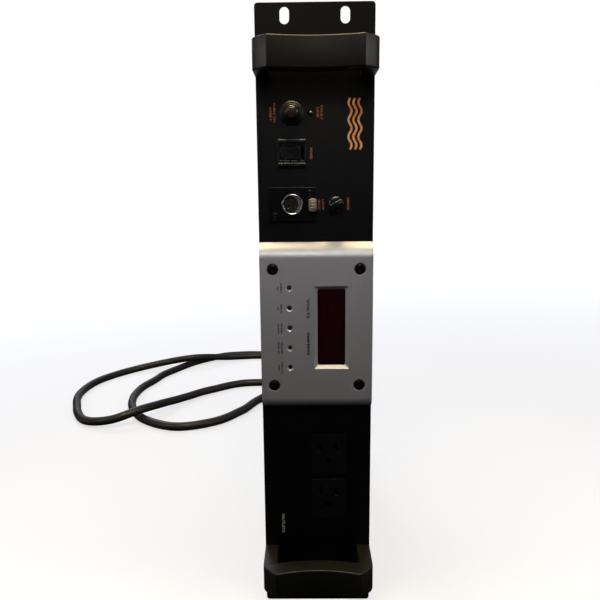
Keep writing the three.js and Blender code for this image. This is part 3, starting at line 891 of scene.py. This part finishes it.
class RACKUNIT_OT_lead(bpy.types.Operator):
    """Mains lead with its strain relief and its plug"""

    bl_idname = "rackunit.lead"
    bl_label = "Mains lead"

    def execute(self, context):
        curve = lead_centreline()
        points, at = even_spacing(set_in_waves(*even_spacing(curve, 3 * MM)), 3 * MM)
        lead = piece(
            "mains_lead",
            [self.tube(points, at)],
            lead_jacket(),
            stands_for=("power_cord",),
            crease=60,
        )
        relief = self.strain_relief()
        plug, blades = self.plug(curve)
        return {"FINISHED"}

    def tube(self, points, at):
        """The jacket round its centreline c(s): c + r (cos u side + sin u up), with r = R (1 + 0.014 cos(3u -
        2 pi s / twist) + 0.006 sin(2 pi s / 37 mm)), because three twisted cores press through it."""
        _, side, up = level_frames(points)
        u = np.linspace(0, 2 * math.pi, 24, endpoint=False)[:, None]
        s = at[None, :]
        cores = 0.014 * np.cos(3 * u - 2 * math.pi * s / sizes().lead_twist)
        unevenness = 0.006 * np.sin(2 * math.pi * s / (37 * MM))
        radius = (sizes().lead_diameter / 2 * (0.985 + cores + unevenness))[..., None]
        grid = points + radius * (np.cos(u)[..., None] * side + np.sin(u)[..., None] * up)
        return shell(grid)

    def strain_relief(self):
        """A collar and a sleeve that tapers from 10.4 to 7.5 mm, whose radius dips by 0.9 mm between ribs."""
        low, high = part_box("strain_relief")
        centre = middle("strain_relief")
        panel_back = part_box("rear_panel")[1].y
        collar = rounded_corners(
            [
                (0, low.y),
                (7.9 * MM, low.y),
                (7.9 * MM, panel_back + 0.3 * MM),
                (12.8 * MM, panel_back + 0.3 * MM),
                (12.8 * MM, panel_back + 4.8 * MM),
                (10.6 * MM, panel_back + 6.5 * MM),
            ],
            [0, 0.4 * MM, 0.1 * MM, 0.8 * MM, 1.2 * MM, 0],
        )
        along = np.linspace(0, 1, 140)
        taper = (10.4 - 2.9 * along) * MM
        groove = 0.9 * MM * (0.5 - 0.5 * np.cos(2 * math.pi * sizes().boot_ribs * along)) ** 0.6
        reach = panel_back + 6.9 * MM + along * (high.y - panel_back - 7.2 * MM)
        sleeve = np.column_stack([taper - groove, reach])
        mouth = [(6.9 * MM, high.y), (0, high.y)]
        profile = np.concatenate([collar, sleeve, mouth])
        return piece(
            "strain_relief_sleeve",
            [shell(turned(profile, centre))],
            plug_rubber(),
            stands_for=("strain_relief",),
        )

    def plug(self, curve):
        """The grip's section is a superellipse |a/w|^n + |b/h|^n = 1, with n from 2 at the lead to 5 at the
        face, and w and h dip between the finger ribs. Two blades and an earth pin stand on its face."""
        low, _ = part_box("cord_plug")
        end = curve[-1]
        heading = curve[-1] - curve[-2]
        heading[2] = 0
        heading /= np.linalg.norm(heading)
        side = np.cross(heading, (0, 0, 1))
        up = np.array([0, 0, 1.0])
        origin = np.array([end[0], end[1], low.z + 12 * MM]) + heading * 0.3 * MM
        length = 46 * MM
        s = np.linspace(0, 1, 90)
        swell = np.clip(s / 0.5, 0, 1)
        swell = swell * swell * (3 - 2 * swell)
        ribs = 0.7 * MM * np.clip(np.sin(2 * math.pi * 7 * s), 0, 1) * ((s > 0.14) & (s < 0.58))
        end_round = 1.2 * MM * np.clip((s - 0.95) / 0.05, 0, 1) ** 2
        half_width = (7.4 + 7.4 * swell) * MM - ribs - end_round
        half_height = (7.2 + 4.6 * swell) * MM - ribs - end_round
        power = 2 / (2 + 3 * swell)
        u = np.linspace(0, 2 * math.pi, 72, endpoint=False)[:, None]
        a = half_width * np.sign(np.cos(u)) * np.abs(np.cos(u)) ** power
        b = half_height * np.sign(np.sin(u)) * np.abs(np.sin(u)) ** power
        grid = origin + (s * length)[None, :, None] * heading + a[..., None] * side + b[..., None] * up
        grip = piece(
            "mains_plug",
            [shell(grid)],
            plug_rubber(),
            stands_for=("cord_plug",),
            crease=40,
        )
        shells = []
        for way in (-1, 1):
            section = rounded_rectangle(1.4 * MM, 6.3 * MM, 0.3 * MM)
            blade = carried(section, edge(-0.5 * MM, 15.6 * MM, 0.5 * MM))
            blade += (way * 6.35 * MM, 2.2 * MM, length)
            shells.append(shell(blade))
        tip = rounded_corners([(2.3 * MM, -0.5 * MM), (2.3 * MM, 18.6 * MM), (0, 18.6 * MM)], 2 * MM)
        angle = np.linspace(0, 2 * math.pi, 32, endpoint=False)[:, None]
        across = tip[:, 0] * np.cos(angle)
        rise = tip[:, 0] * np.sin(angle) - 8 * MM
        pin = np.stack([across, rise, tip[:, 1] + length + 0 * angle], axis=-1)
        shells.append(shell(pin))
        turned_shells = []
        for points, faces in shells:
            across, rise, out = points.T[:, :, None]
            turned_shells.append((origin + across * side + rise * up + out * heading, faces))
        blades = piece("plug_blades", turned_shells, zinc_plate())
        return grip, blades


# Panel and handles.


class RACKUNIT_OT_front_panel(bpy.types.Operator):
    """Front panel with its four rack slots"""

    bl_idname = "rackunit.front_panel"
    bl_label = "Front panel"

    def execute(self, context):
        eased("front_panel", "panel_plate", powder_coat(), width=0.25 * MM)
        return {"FINISHED"}


class RACKUNIT_OT_handles(bpy.types.Operator):
    """Two cast handles and the screws that hold them"""

    bl_idname = "rackunit.handles"
    bl_label = "Handles"

    def execute(self, context):
        for which in ("lower", "upper"):
            self.handle(f"{which}_handle", f"{which}_grip")
        for number in range(1, 5):
            NODES[f"handle_screw_{number}"].data.materials[0] = zinc_plate()
        return {"FINISHED"}

    def handle(self, node, name):
        """Outline in X and Y: two legs, facets at their outer corners and a bar whose front and back bow
        towards the panel by 5 mm and 4 mm as a parabola. It is carried along Z with rounded edges."""
        low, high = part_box(node)
        half, front, foot = high.x, low.y, high.y
        inner = half - 11 * MM
        shoulder = front + 10 * MM
        back = front + 15.5 * MM
        x = np.linspace(-1, 1, 25)[1:-1]
        bow_front = np.column_stack([x * inner, front + 5 * MM * (1 - x * x)])
        bow_back = np.column_stack([-x * inner, back + 4 * MM * (1 - x * x)])
        outline = [(-half, foot), (-half, shoulder), (-inner, front)]
        outline += bow_front.tolist()
        outline += [(inner, front), (half, shoulder), (half, foot), (inner, foot), (inner, back)]
        outline += bow_back.tolist()
        outline += [(-inner, back), (-inner, foot)]
        corner = np.zeros(len(outline))
        bows = len(bow_front)
        corner[[1, 4 + bows]] = 4.5 * MM
        corner[[2, 3 + bows]] = 1.2 * MM
        corner[[7 + bows, 8 + 2 * bows]] = 1.8 * MM
        smooth = rounded_corners(outline, corner, 7, closed=True)
        round_off = sizes().handle_round
        middle_z = (low.z + high.z) / 2
        upper = edge(middle_z, high.z, round_off)[1:]
        lower = upper[::-1] * (1, -1) + (0, 2 * middle_z)
        piece(
            name,
            [shell(carried(smooth, np.concatenate([lower, upper])))],
            handle_paint(),
            stands_for=(node,),
        )


# Meter bezel.


def hexagon(u):
    """Share of its corner radius at which a regular hexagon's side lies, at angle u."""
    return math.cos(math.pi / 6) / np.cos(np.mod(u, math.pi / 3) - math.pi / 6)


class RACKUNIT_OT_bezel(bpy.types.Operator):
    """Raised meter bezel and its four hexagon socket screws"""

    bl_idname = "rackunit.bezel"
    bl_label = "Meter bezel"

    def execute(self, context):
        eased("centre_bezel", "meter_bezel", bezel_metal(), width=0.3 * MM, segments=3)
        for number in range(1, 5):
            self.screw(f"bezel_screw_{number}", f"socket_screw_{number}")
        return {"FINISHED"}

    def screw(self, node, name):
        """A low dome turned about Y. From the socket's mouth inwards the radius follows a hexagon."""
        low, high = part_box(node)
        centre = middle(node)
        radius = span(node)[0] / 2
        head = rounded_corners(
            [
                (0, high.y),
                (2 * MM, high.y),
                (2 * MM, low.y + 2.6 * MM),
                (radius, low.y + 2.6 * MM),
                (radius, low.y + 0.8 * MM),
                (radius - 1.1 * MM, low.y + 0.1 * MM),
                (2.3 * MM, low.y),
            ],
            [0, 0.3 * MM, 0.1 * MM, 0.1 * MM, 0.6 * MM, 0.8 * MM, 0],
        )
        socket = [(1.75 * MM, low.y + 0.15 * MM), (1.7 * MM, low.y + 1.3 * MM), (0, low.y + 1.6 * MM)]
        u = np.linspace(0, 2 * math.pi, 72, endpoint=False)[:, None]
        round_share = np.ones((72, len(head)))
        hexagonal = np.broadcast_to(hexagon(u), (72, len(socket)))
        share = np.concatenate([round_share, hexagonal], axis=1)
        profile = np.concatenate([head, socket])
        piece(
            name,
            [shell(turned(profile, centre, 72, share))],
            black_steel(),
            stands_for=(node,),
        )


class RACKUNIT_OT_meter(bpy.types.Operator):
    """Meter window, digit modules with their unlit segments, and the meter board"""

    bl_idname = "rackunit.meter"
    bl_label = "Meter"

    def execute(self, context):
        low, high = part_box("meter_window")
        centre, size = middle("meter_window"), span("meter_window")
        outline = rounded_rectangle(size[0], size[2], 1.5 * MM, (centre[0], centre[2]))
        plate = facing_front(carried(outline, edge(high.y, low.y, 0.25 * MM)))
        piece(
            "display_window",
            [shell(plate)],
            smoked_acrylic(),
            stands_for=("meter_window",),
        )
        segments = []
        for node in ("volt_digits", "amp_digits"):
            NODES[node].data.materials[0] = digit_face()
            segments += self.segments(node)
        piece("digit_segments", segments, segment_epoxy())
        NODES["meter_board"].data.materials[0] = circuit_board()
        return {"FINISHED"}

    def segments(self, node):
        """Three slanted seven-segment digits. A segment is a bar with pointed ends, and its points are
        sheared along the reading direction by a tenth of their height."""
        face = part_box(node)[0].y
        centre = middle(node)
        tall, wide, bar = 12 * MM, 6 * MM, 1.1 * MM
        reach = wide / 2 - 0.15 * MM
        point = np.array([(-1, 0), (-1, 0.5), (1, 0.5), (1, 0), (1, -0.5), (-1, -0.5)])
        level = point * (reach - bar / 2, bar)
        level[[0, 3], 0] *= reach / (reach - bar / 2)
        upright = level[:, ::-1] * (-1, 1)
        places = [
            (level, 0, tall / 2),
            (level, 0, 0),
            (level, 0, -tall / 2),
            (upright, -reach - 0.1 * MM, tall / 4),
            (upright, reach + 0.1 * MM, tall / 4),
            (upright, -reach - 0.1 * MM, -tall / 4),
            (upright, reach + 0.1 * MM, -tall / 4),
        ]
        shells = []
        for digit in (-1, 0, 1):
            for shape, reading, rise in places:
                flat = shape + (reading + digit * 8.6 * MM, rise)
                flat[:, 0] += 0.1 * flat[:, 1]
                rows = [np.column_stack([flat, np.full(6, lift)]) for lift in (0.02 * MM, 0.12 * MM)]
                grid = np.stack([print_on(row, (centre[0], centre[2]), face) for row in rows], axis=1)
                shells.append(shell(grid))
        return shells


class RACKUNIT_OT_lamps(bpy.types.Operator):
    """Five indicator lamps in the bezel and the alarm lamp in the panel"""

    bl_idname = "rackunit.lamps"
    bl_label = "Indicator lamps"

    def execute(self, context):
        for number in range(1, 6):
            self.lamp(f"indicator_lamp_{number}", f"indicator_{number}", 1.45 * MM)
        self.lamp("alarm_lamp", "alarm_indicator", 2.1 * MM)
        return {"FINISHED"}

    def lamp(self, node, name, radius):
        """A round body with a half-round end: the dome's profile is (r cos a, front + r (1 - sin a))."""
        low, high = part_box(node)
        a = np.linspace(0, math.pi / 2, 12)
        dome = np.column_stack([radius * np.cos(a), low.y + radius * (1 - np.sin(a))])
        profile = np.concatenate([[(0, high.y), (radius, high.y)], dome])
        piece(
            name,
            [shell(turned(profile, middle(node), 32))],
            lamp_epoxy(),
            stands_for=(node,),
        )


# Controls.


class RACKUNIT_OT_breaker(bpy.types.Operator):
    """Circuit breaker: collar, button and body"""

    bl_idname = "rackunit.breaker"
    bl_label = "Circuit breaker"

    def execute(self, context):
        low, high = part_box("breaker_collar")
        radius = span("breaker_collar")[0] / 2
        bore = 5.02 * MM
        ring = [
            (bore, high.y),
            (radius, high.y),
            (radius, high.y - 1.1 * MM),
            (radius - 1.0 * MM, high.y - 2.2 * MM),
            (radius - 2.0 * MM, high.y - 2.3 * MM),
            (6.4 * MM, high.y - 2.7 * MM),
            (6.1 * MM, low.y + 0.6 * MM),
            (5.7 * MM, low.y),
            (bore, low.y + 0.2 * MM),
        ]
        cuts = np.array([0.05, 0.1, 0.6, 0.6, 0.5, 0.5, 0.4, 0.3, 0.15]) * MM
        profile = rounded_corners(ring, cuts, 5, closed=True)
        piece(
            "breaker_ring",
            [shell(turned(profile, middle("breaker_collar"), 96), ring=True)],
            nylon(),
            stands_for=("breaker_collar",),
        )
        low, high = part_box("breaker_button")
        radius = span("breaker_button")[0] / 2
        cap = rounded_corners(
            [
                (0, high.y),
                (radius, high.y),
                (radius, low.y + 0.9 * MM),
                (radius - 1.2 * MM, low.y + 0.1 * MM),
                (0, low.y),
            ],
            [0, 0.3 * MM, 0.9 * MM, 1.5 * MM, 0],
            9,
        )
        piece(
            "reset_button",
            [shell(turned(cap, middle("breaker_button"), 72))],
            phenolic(),
            body="breaker_button",
            stands_for=("breaker_button",),
        )
        NODES["breaker_body"].data.materials[0] = nylon()
        return {"FINISHED"}


class RACKUNIT_OT_power_switch(bpy.types.Operator):
    """Power switch: framed body and rocker"""

    bl_idname = "rackunit.power_switch"
    bl_label = "Power switch"

    def execute(self, context):
        eased("switch_frame", "rocker_frame", gloss_nylon(), width=0.3 * MM, segments=3)
        eased(
            "switch_rocker",
            "rocker_key",
            gloss_nylon(),
            body="power_rocker",
            width=0.25 * MM,
            segments=3,
        )
        return {"FINISHED"}


class RACKUNIT_OT_lamp_socket(bpy.types.Operator):
    """Three-pole lamp socket: flange, ring, insert with its contacts, release tab and screws"""

    bl_idname = "rackunit.lamp_socket"
    bl_label = "Lamp socket"

    def execute(self, context):
        eased(
            "lamp_socket_flange", "socket_flange", black_steel(), width=0.45 * MM, segments=3
        )
        centre = middle("lamp_socket_ring")
        self.ring(centre)
        self.insert(centre)
        self.latch()
        for number in (1, 2):
            cross_screw(
                f"lamp_socket_screw_{number}", f"flange_screw_{number}", black_steel()
            )
        return {"FINISHED"}

    def ring(self, centre):
        low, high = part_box("lamp_socket_ring")
        outer = span("lamp_socket_ring")[0] / 2
        inner = outer - 1.2 * MM
        corners = [(inner, high.y), (outer, high.y), (outer, low.y), (inner, low.y + 0.1 * MM)]
        profile = rounded_corners(corners, [0.1 * MM, 0.1 * MM, 0.5 * MM, 0.5 * MM], 6, closed=True)
        piece(
            "socket_ring",
            [shell(turned(profile, centre, 96), ring=True)],
            chrome_plate(),
            stands_for=("lamp_socket_ring",),
        )

    def insert(self, centre):
        eased("lamp_socket_insert", "socket_insert", nylon(), width=0.2 * MM)
        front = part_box("lamp_socket_insert")[0].y
        contacts = []
        for angle in np.radians([90, 210, 330]):
            place = centre + 3.7 * MM * np.array([math.cos(angle), 0, math.sin(angle)])
            tube = [
                (0.75 * MM, front + 1.2 * MM),
                (1.15 * MM, front + 1.2 * MM),
                (1.15 * MM, front + 8 * MM),
                (0.75 * MM, front + 8 * MM),
            ]
            section = rounded_corners(tube, 0.1 * MM, 3, closed=True)
            contacts.append(shell(turned(section, place, 24), ring=True))
        piece("socket_contacts", contacts, brass())
        self.keyway(centre)

    def keyway(self, centre):
        """A crescent inside the ring: its inner side is a circle of radius b moved left by a, so that at the
        angle u it lies at -a cos u + sqrt(b^2 - (a sin u)^2) from the centre."""
        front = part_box("lamp_socket_ring")[0].y
        u = np.radians(np.linspace(-104, 104, 60))
        shift, inner = 1.9 * MM, 6.3 * MM
        near = -shift * np.cos(u) + np.sqrt(inner**2 - (shift * np.sin(u)) ** 2)
        far = np.full_like(u, 6.6 * MM)
        depth = (front + 1.4 * MM, front + 3.4 * MM)
        rows = [(near, depth[1]), (near, depth[0]), (far, depth[0]), (far, depth[1])]
        grid = np.stack(
            [
                np.stack([centre[0] + r * np.cos(u), y + 0 * u, centre[2] + r * np.sin(u)], axis=-1)
                for r, y in rows
            ]
        )
        piece("socket_keyway", [shell(grid)], zinc_plate())

    def latch(self):
        """A pressed tab whose three thumb ridges are raised lines across it."""
        low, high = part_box("lamp_socket_latch")
        centre, size = middle("lamp_socket_latch"), span("lamp_socket_latch")
        back = low.y + 1.7 * MM
        outline = rounded_rectangle(size[0], size[2], 2 * MM, (centre[0], centre[2]), 10)
        rim = edge(back, low.y + 0.25 * MM, 0.6 * MM)
        tab = facing_front(carried(outline, rim))
        stem_outline = rounded_rectangle(3.9 * MM, 5.9 * MM, 0.4 * MM, (centre[0], centre[2]))
        stem = facing_front(carried(stem_outline, [(0, high.y), (0, back)]))
        shells = [shell(tab), shell(stem)]
        for row in (-1, 0, 1):
            ridge = rounded_rectangle(4.2 * MM, 0.7 * MM, 0.3 * MM, (centre[0], centre[2] + row * 2.1 * MM))
            shells.append(shell(facing_front(carried(ridge, edge(low.y + 0.3 * MM, low.y, 0.2 * MM)))))
        piece(
            "release_tab",
            shells,
            latch_plate(),
            body="socket_latch",
            stands_for=("lamp_socket_latch",),
        )


def cross_screw(node, name, material):
    """A pan head screw in a CAD screw's place."""
    low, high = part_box(node)
    radius = span(node)[0] / 2
    shells = [pan_head(middle(node), low.y, radius, high.y)]
    return piece(name, shells, material, stands_for=(node,))


def pan_head(centre, front, radius, back, facing=-1):
    """A pan head with a cross recess: the head's depth at (r, u) is dropped where r |cos 2u| shows that the
    point lies on one of the cross's arms, within its reach. Facing -1 looks along -Y and 1 along +Y."""
    sides = 64
    u = np.linspace(0, 2 * math.pi, sides, endpoint=False)[:, None]
    share = np.linspace(1, 0, 14)[None, :] ** 0.8
    r = radius * share + 0 * u
    dome = 0.16 * radius * share**4
    arm = np.minimum(np.abs(np.sin(u)), np.abs(np.cos(u))) * r
    inside = (arm < 0.13 * radius) & (share < 0.62)
    depth = dome + np.where(inside, 0.34 * radius * (1 - share / 0.7), 0)
    u = -facing * u
    face = np.stack([centre[0] + r * np.cos(u), front - facing * depth, centre[2] + r * np.sin(u)], axis=-1)
    drop = 0.45 * radius
    rim_r = np.array([0.45, 0.45, 1.0, 1.0]) * radius
    rim_y = np.array([back, front - facing * drop, front - facing * drop, front - facing * 0.24 * radius])
    rim = np.stack([centre[0] + rim_r * np.cos(u), rim_y + 0 * u, centre[2] + rim_r * np.sin(u)], axis=-1)
    return shell(np.concatenate([rim, face], axis=1))


class RACKUNIT_OT_dimmer(bpy.types.Operator):
    """Dimmer knob with its pointer, and the control behind it"""

    bl_idname = "rackunit.dimmer"
    bl_label = "Dimmer"

    def execute(self, context):
        low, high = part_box("dimmer_knob")
        centre = middle("dimmer_control")
        radius = span("dimmer_knob")[0] / 2
        u = np.linspace(0, 2 * math.pi, 144, endpoint=False)[:, None]
        skirt = rounded_corners(
            [
                (0, high.y),
                (radius, high.y),
                (radius, high.y - 2.6 * MM),
                (radius - 1.1 * MM, high.y - 3.6 * MM),
                (0, high.y - 3.6 * MM),
            ],
            [0, 0.2 * MM, 0.6 * MM, 0.5 * MM, 0],
        )
        fluted = 1 - 0.025 * (0.5 + 0.5 * np.cos(24 * u))
        share = np.where(skirt[None, :, 0] > radius - 0.3 * MM, fluted, 1.0)
        base = turned(skirt, centre, 144, share)
        outline = rounded_rectangle(2 * radius - 0.9 * MM, 4.1 * MM, 1.4 * MM)
        rim = edge(high.y - 3.4 * MM, low.y, 0.7 * MM)
        grip = self.turn(facing_front(carried(outline, rim)), centre)
        piece(
            "dimmer_grip",
            [shell(base), shell(grip)],
            gloss_nylon(),
            body="dimmer_knob",
            stands_for=("dimmer_knob",),
        )
        mark = rounded_rectangle(3.4 * MM, 0.7 * MM, 0.2 * MM, (3.2 * MM, 0))
        depth = [(0, low.y + 0.02 * MM), (0, low.y - 0.03 * MM)]
        line = self.turn(facing_front(carried(mark, depth)), centre)
        piece("dimmer_pointer", [shell(line)], grey_ink(), body="dimmer_knob")
        NODES["dimmer_control"].data.materials[0] = core_iron()
        return {"FINISHED"}

    def turn(self, grid, centre):
        """Turns a grid about Y by the pointer's angle, then moves it onto the knob's axis."""
        angle = math.radians(25)
        x, y, z = grid[..., 0], grid[..., 1], grid[..., 2]
        turned_x = x * math.cos(angle) - z * math.sin(angle)
        turned_z = x * math.sin(angle) + z * math.cos(angle)
        return np.stack([turned_x + centre[0], y, turned_z + centre[2]], axis=-1)


class RACKUNIT_OT_outlets(bpy.types.Operator):
    """Two front outlets and eight rear outlets"""

    bl_idname = "rackunit.outlets"
    bl_label = "Outlets"

    def execute(self, context):
        for number in (1, 2):
            eased(f"front_outlet_{number}", f"front_socket_{number}", nylon(), width=0.35 * MM)
        for number in range(1, 9):
            eased(f"rear_outlet_{number}", f"rear_socket_{number}", nylon(), width=0.35 * MM)
        return {"FINISHED"}


# Chassis.


class RACKUNIT_OT_chassis(bpy.types.Operator):
    """Chassis tray, top cover and rear panel with the screws that close them"""

    bl_idname = "rackunit.chassis"
    bl_label = "Chassis"

    def execute(self, context):
        for node, name in (
            ("chassis_tray", "tray_shell"),
            ("top_cover", "cover_plate"),
            ("rear_panel", "rear_plate"),
        ):
            eased(node, name, powder_coat(), width=0.3 * MM)
        self.rear_screws()
        return {"FINISHED"}

    def rear_screws(self):
        """Three pan head screws down each long side of the rear panel."""
        low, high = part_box("rear_panel")
        shells = []
        for height in np.linspace(low.z + 12 * MM, high.z - 12 * MM, 3):
            for x in (low.x + 5.5 * MM, high.x - 5.5 * MM):
                place = (x, 0, height)
                shells.append(pan_head(place, high.y + 1.5 * MM, 2.9 * MM, high.y - 1 * MM, facing=1))
        piece("rear_cover_screws", shells, zinc_plate())


class RACKUNIT_OT_ground_post(bpy.types.Operator):
    """Brass ground post with its knurled nut"""

    bl_idname = "rackunit.ground_post"
    bl_label = "Ground post"

    def execute(self, context):
        low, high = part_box("ground_post")
        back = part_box("rear_panel")[1].y
        u = np.linspace(0, 2 * math.pi, 180, endpoint=False)[:, None]
        profile = rounded_corners(
            [
                (0, low.y),
                (3.9 * MM, low.y),
                (3.9 * MM, back + 0.3 * MM),
                (6.9 * MM, back + 0.3 * MM),
                (6.9 * MM, back + 2.9 * MM),
                (3.9 * MM, back + 2.9 * MM),
                (3.9 * MM, back + 6.1 * MM),
                (7.8 * MM, back + 6.1 * MM),
                (7.8 * MM, high.y - 1.3 * MM),
                (6.4 * MM, high.y),
                (0, high.y),
            ],
            np.array([0, 0.3, 0.1, 0.3, 0.3, 0.1, 0.1, 0.6, 0.8, 0.8, 0]) * MM,
        )
        knurl = 1 - 0.03 * (0.5 + 0.5 * np.cos(36 * u))
        share = np.where(profile[None, :, 0] > 7.4 * MM, knurl, 1.0)
        piece(
            "earth_terminal",
            [shell(turned(profile, middle("ground_post"), 180, share))],
            brass(),
            stands_for=("ground_post",),
        )
        return {"FINISHED"}


class RACKUNIT_OT_inside(bpy.types.Operator):
    """Finishes of the filter board and what stands on it"""

    bl_idname = "rackunit.inside"
    bl_label = "Inside"

    def execute(self, context):
        finishes = {
            "filter_board": circuit_board(),
            "filter_choke_1": ferrite(),
            "filter_choke_2": ferrite(),
            "filter_capacitor_1": film_case(),
            "filter_capacitor_2": film_case(),
            "delay_relay": nylon(),
            "meter_transformer": core_iron(),
        }
        for node, material in finishes.items():
            NODES[node].data.materials[0] = material
        return {"FINISHED"}


class RACKUNIT_OT_lettering(bpy.types.Operator):
    """Printed legends on the panel and the bezel, and the wave emblem"""

    bl_idname = "rackunit.lettering"
    bl_label = "Lettering"

    def execute(self, context):
        self.panel_legends()
        self.bezel_legends()
        self.emblem()
        self.rear_legends()
        return {"FINISHED"}

    def beside(self, node, *words):
        """Words at offsets (x, z) in millimetres from a node's middle."""
        x, _, z = middle(node)
        return [(text, length, height, (x + dx * MM, z + dz * MM)) for text, length, height, dx, dz in words]

    def printed(self, name, words, face, ink, slot, weight=0.02):
        """One piece of all the words, each at its own length, height and place."""
        shells = [
            letters(text, length * MM, height * MM, at, face, weight=weight)
            for text, length, height, at in words
        ]
        piece(name, shells, ink)

    def panel_legends(self):
        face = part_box("front_panel")[0].y
        words = self.beside(
            "breaker_collar",
            ("PUSH TO", 14, 1.5, -13.0, 0.5),
            ("RESET", 10, 1.5, -15.9, -0.5),
            ("LINE", 7, 1.5, 19.4, 0.5),
            ("FAULT", 10.5, 1.5, 22.3, 0.3),
        )
        words += self.beside("switch_frame", ("POWER", 8.6, 1.9, 14.6, -0.5))
        words += self.beside("lamp_socket_latch", ("RACK", 8, 1.5, 5.0, 0.0), ("LAMP", 8, 1.5, 8.0, 0.0))
        words += self.beside("dimmer_control", ("DIMMER", 9.5, 1.7, 9.3, 0.0))
        self.printed("orange_legends", words, face, orange_ink(), "panel_black")
        words = self.beside("front_outlet_2", ("OUTLETS", 17, 2.3, -38.2, -23.5))
        self.printed("white_legends", words, face, white_ink(), "panel_black")

    def bezel_legends(self):
        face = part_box("centre_bezel")[0].y
        words = []
        names = [
            ("SUPPLY", "ON"),
            ("EARTH", "OK"),
            ("FILTER", "ACTIVE"),
            ("DELAYED", "BANK ON"),
            ("OVERLOAD", "TRIP"),
        ]
        for number, (upper, lower) in enumerate(names, start=1):
            words += self.beside(
                f"indicator_lamp_{number}",
                (upper, 1.35 * len(upper), 1.3, -6.4, 0.0),
                (lower, 1.35 * len(lower), 1.3, -8.9, 0.0),
            )
        words += self.beside("volt_digits", ("VOLTS", 15.5, 2.0, -18.2, 0.3))
        words += self.beside("amp_digits", ("AMPERES", 19, 2.0, -18.2, 2.3))
        self.printed("bezel_legends", words, face, black_ink(), "bezel_silver", weight=0.045)

    def emblem(self):
        """Waves side by side, 3.7 mm apart: up = 1.2 mm sin(2 pi x / 12.3 mm) over the reading direction."""
        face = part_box("front_panel")[0].y
        reading = np.linspace(-18.5, 18.5, 97) * MM
        count = sizes().emblem_waves
        shells = []
        for number in range(count):
            rise = (number - (count - 1) / 2) * 3.7 * MM
            wave = 1.2 * MM * np.sin(2 * math.pi * reading / (12.3 * MM))
            line = np.column_stack([reading, wave + rise])
            shells.append(stroke(line, 1.6 * MM, (29.6 * MM, 397 * MM), face))
        piece("wave_emblem", shells, copper_ink())

    def rear_legends(self):
        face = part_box("rear_panel")[1].y
        shells = []
        for number in range(1, 9):
            x, _, z = middle(f"rear_outlet_{number}")
            shells.append(letters(str(number), 2.6 * MM, 4 * MM, (x + 20 * MM, z), face, mirrored=True))
        piece("rear_numerals", shells, white_ink())


class RACKUNIT_PT_pieces(bpy.types.Panel):
    """Lists the operators that build the unit"""

    bl_idname = "RACKUNIT_PT_pieces"
    bl_label = "Rack power unit"
    bl_space_type = "VIEW_3D"
    bl_region_type = "UI"
    bl_category = "Rack power unit"

    def draw(self, context):
        for group in (context.scene.rack_unit_sizes, context.scene.rack_unit_colours):
            for name in group.__annotations__:
                self.layout.prop(group, name)
        for operator in OPERATORS:
            self.layout.operator(operator.bl_idname)


OPERATORS = (
    RACKUNIT_OT_stage,
    RACKUNIT_OT_lead,
    RACKUNIT_OT_front_panel,
    RACKUNIT_OT_handles,
    RACKUNIT_OT_bezel,
    RACKUNIT_OT_meter,
    RACKUNIT_OT_lamps,
    RACKUNIT_OT_breaker,
    RACKUNIT_OT_power_switch,
    RACKUNIT_OT_lamp_socket,
    RACKUNIT_OT_dimmer,
    RACKUNIT_OT_outlets,
    RACKUNIT_OT_chassis,
    RACKUNIT_OT_ground_post,
    RACKUNIT_OT_inside,
    RACKUNIT_OT_lettering,
)
CLASSES = (RackUnitSizes, RackUnitColours, *OPERATORS, RACKUNIT_PT_pieces)


def register():
    for each in CLASSES:
        bpy.utils.register_class(each)
    bpy.types.Scene.rack_unit_sizes = PointerProperty(type=RackUnitSizes)
    bpy.types.Scene.rack_unit_colours = PointerProperty(type=RackUnitColours)


def unregister():
    del bpy.types.Scene.rack_unit_colours
    del bpy.types.Scene.rack_unit_sizes
    for each in reversed(CLASSES):
        bpy.utils.unregister_class(each)


def main():
    register()
    for operator in OPERATORS:
        group, name = operator.bl_idname.split(".")
        getattr(getattr(bpy.ops, group), name)()


if __name__ == "__main__":
    main()
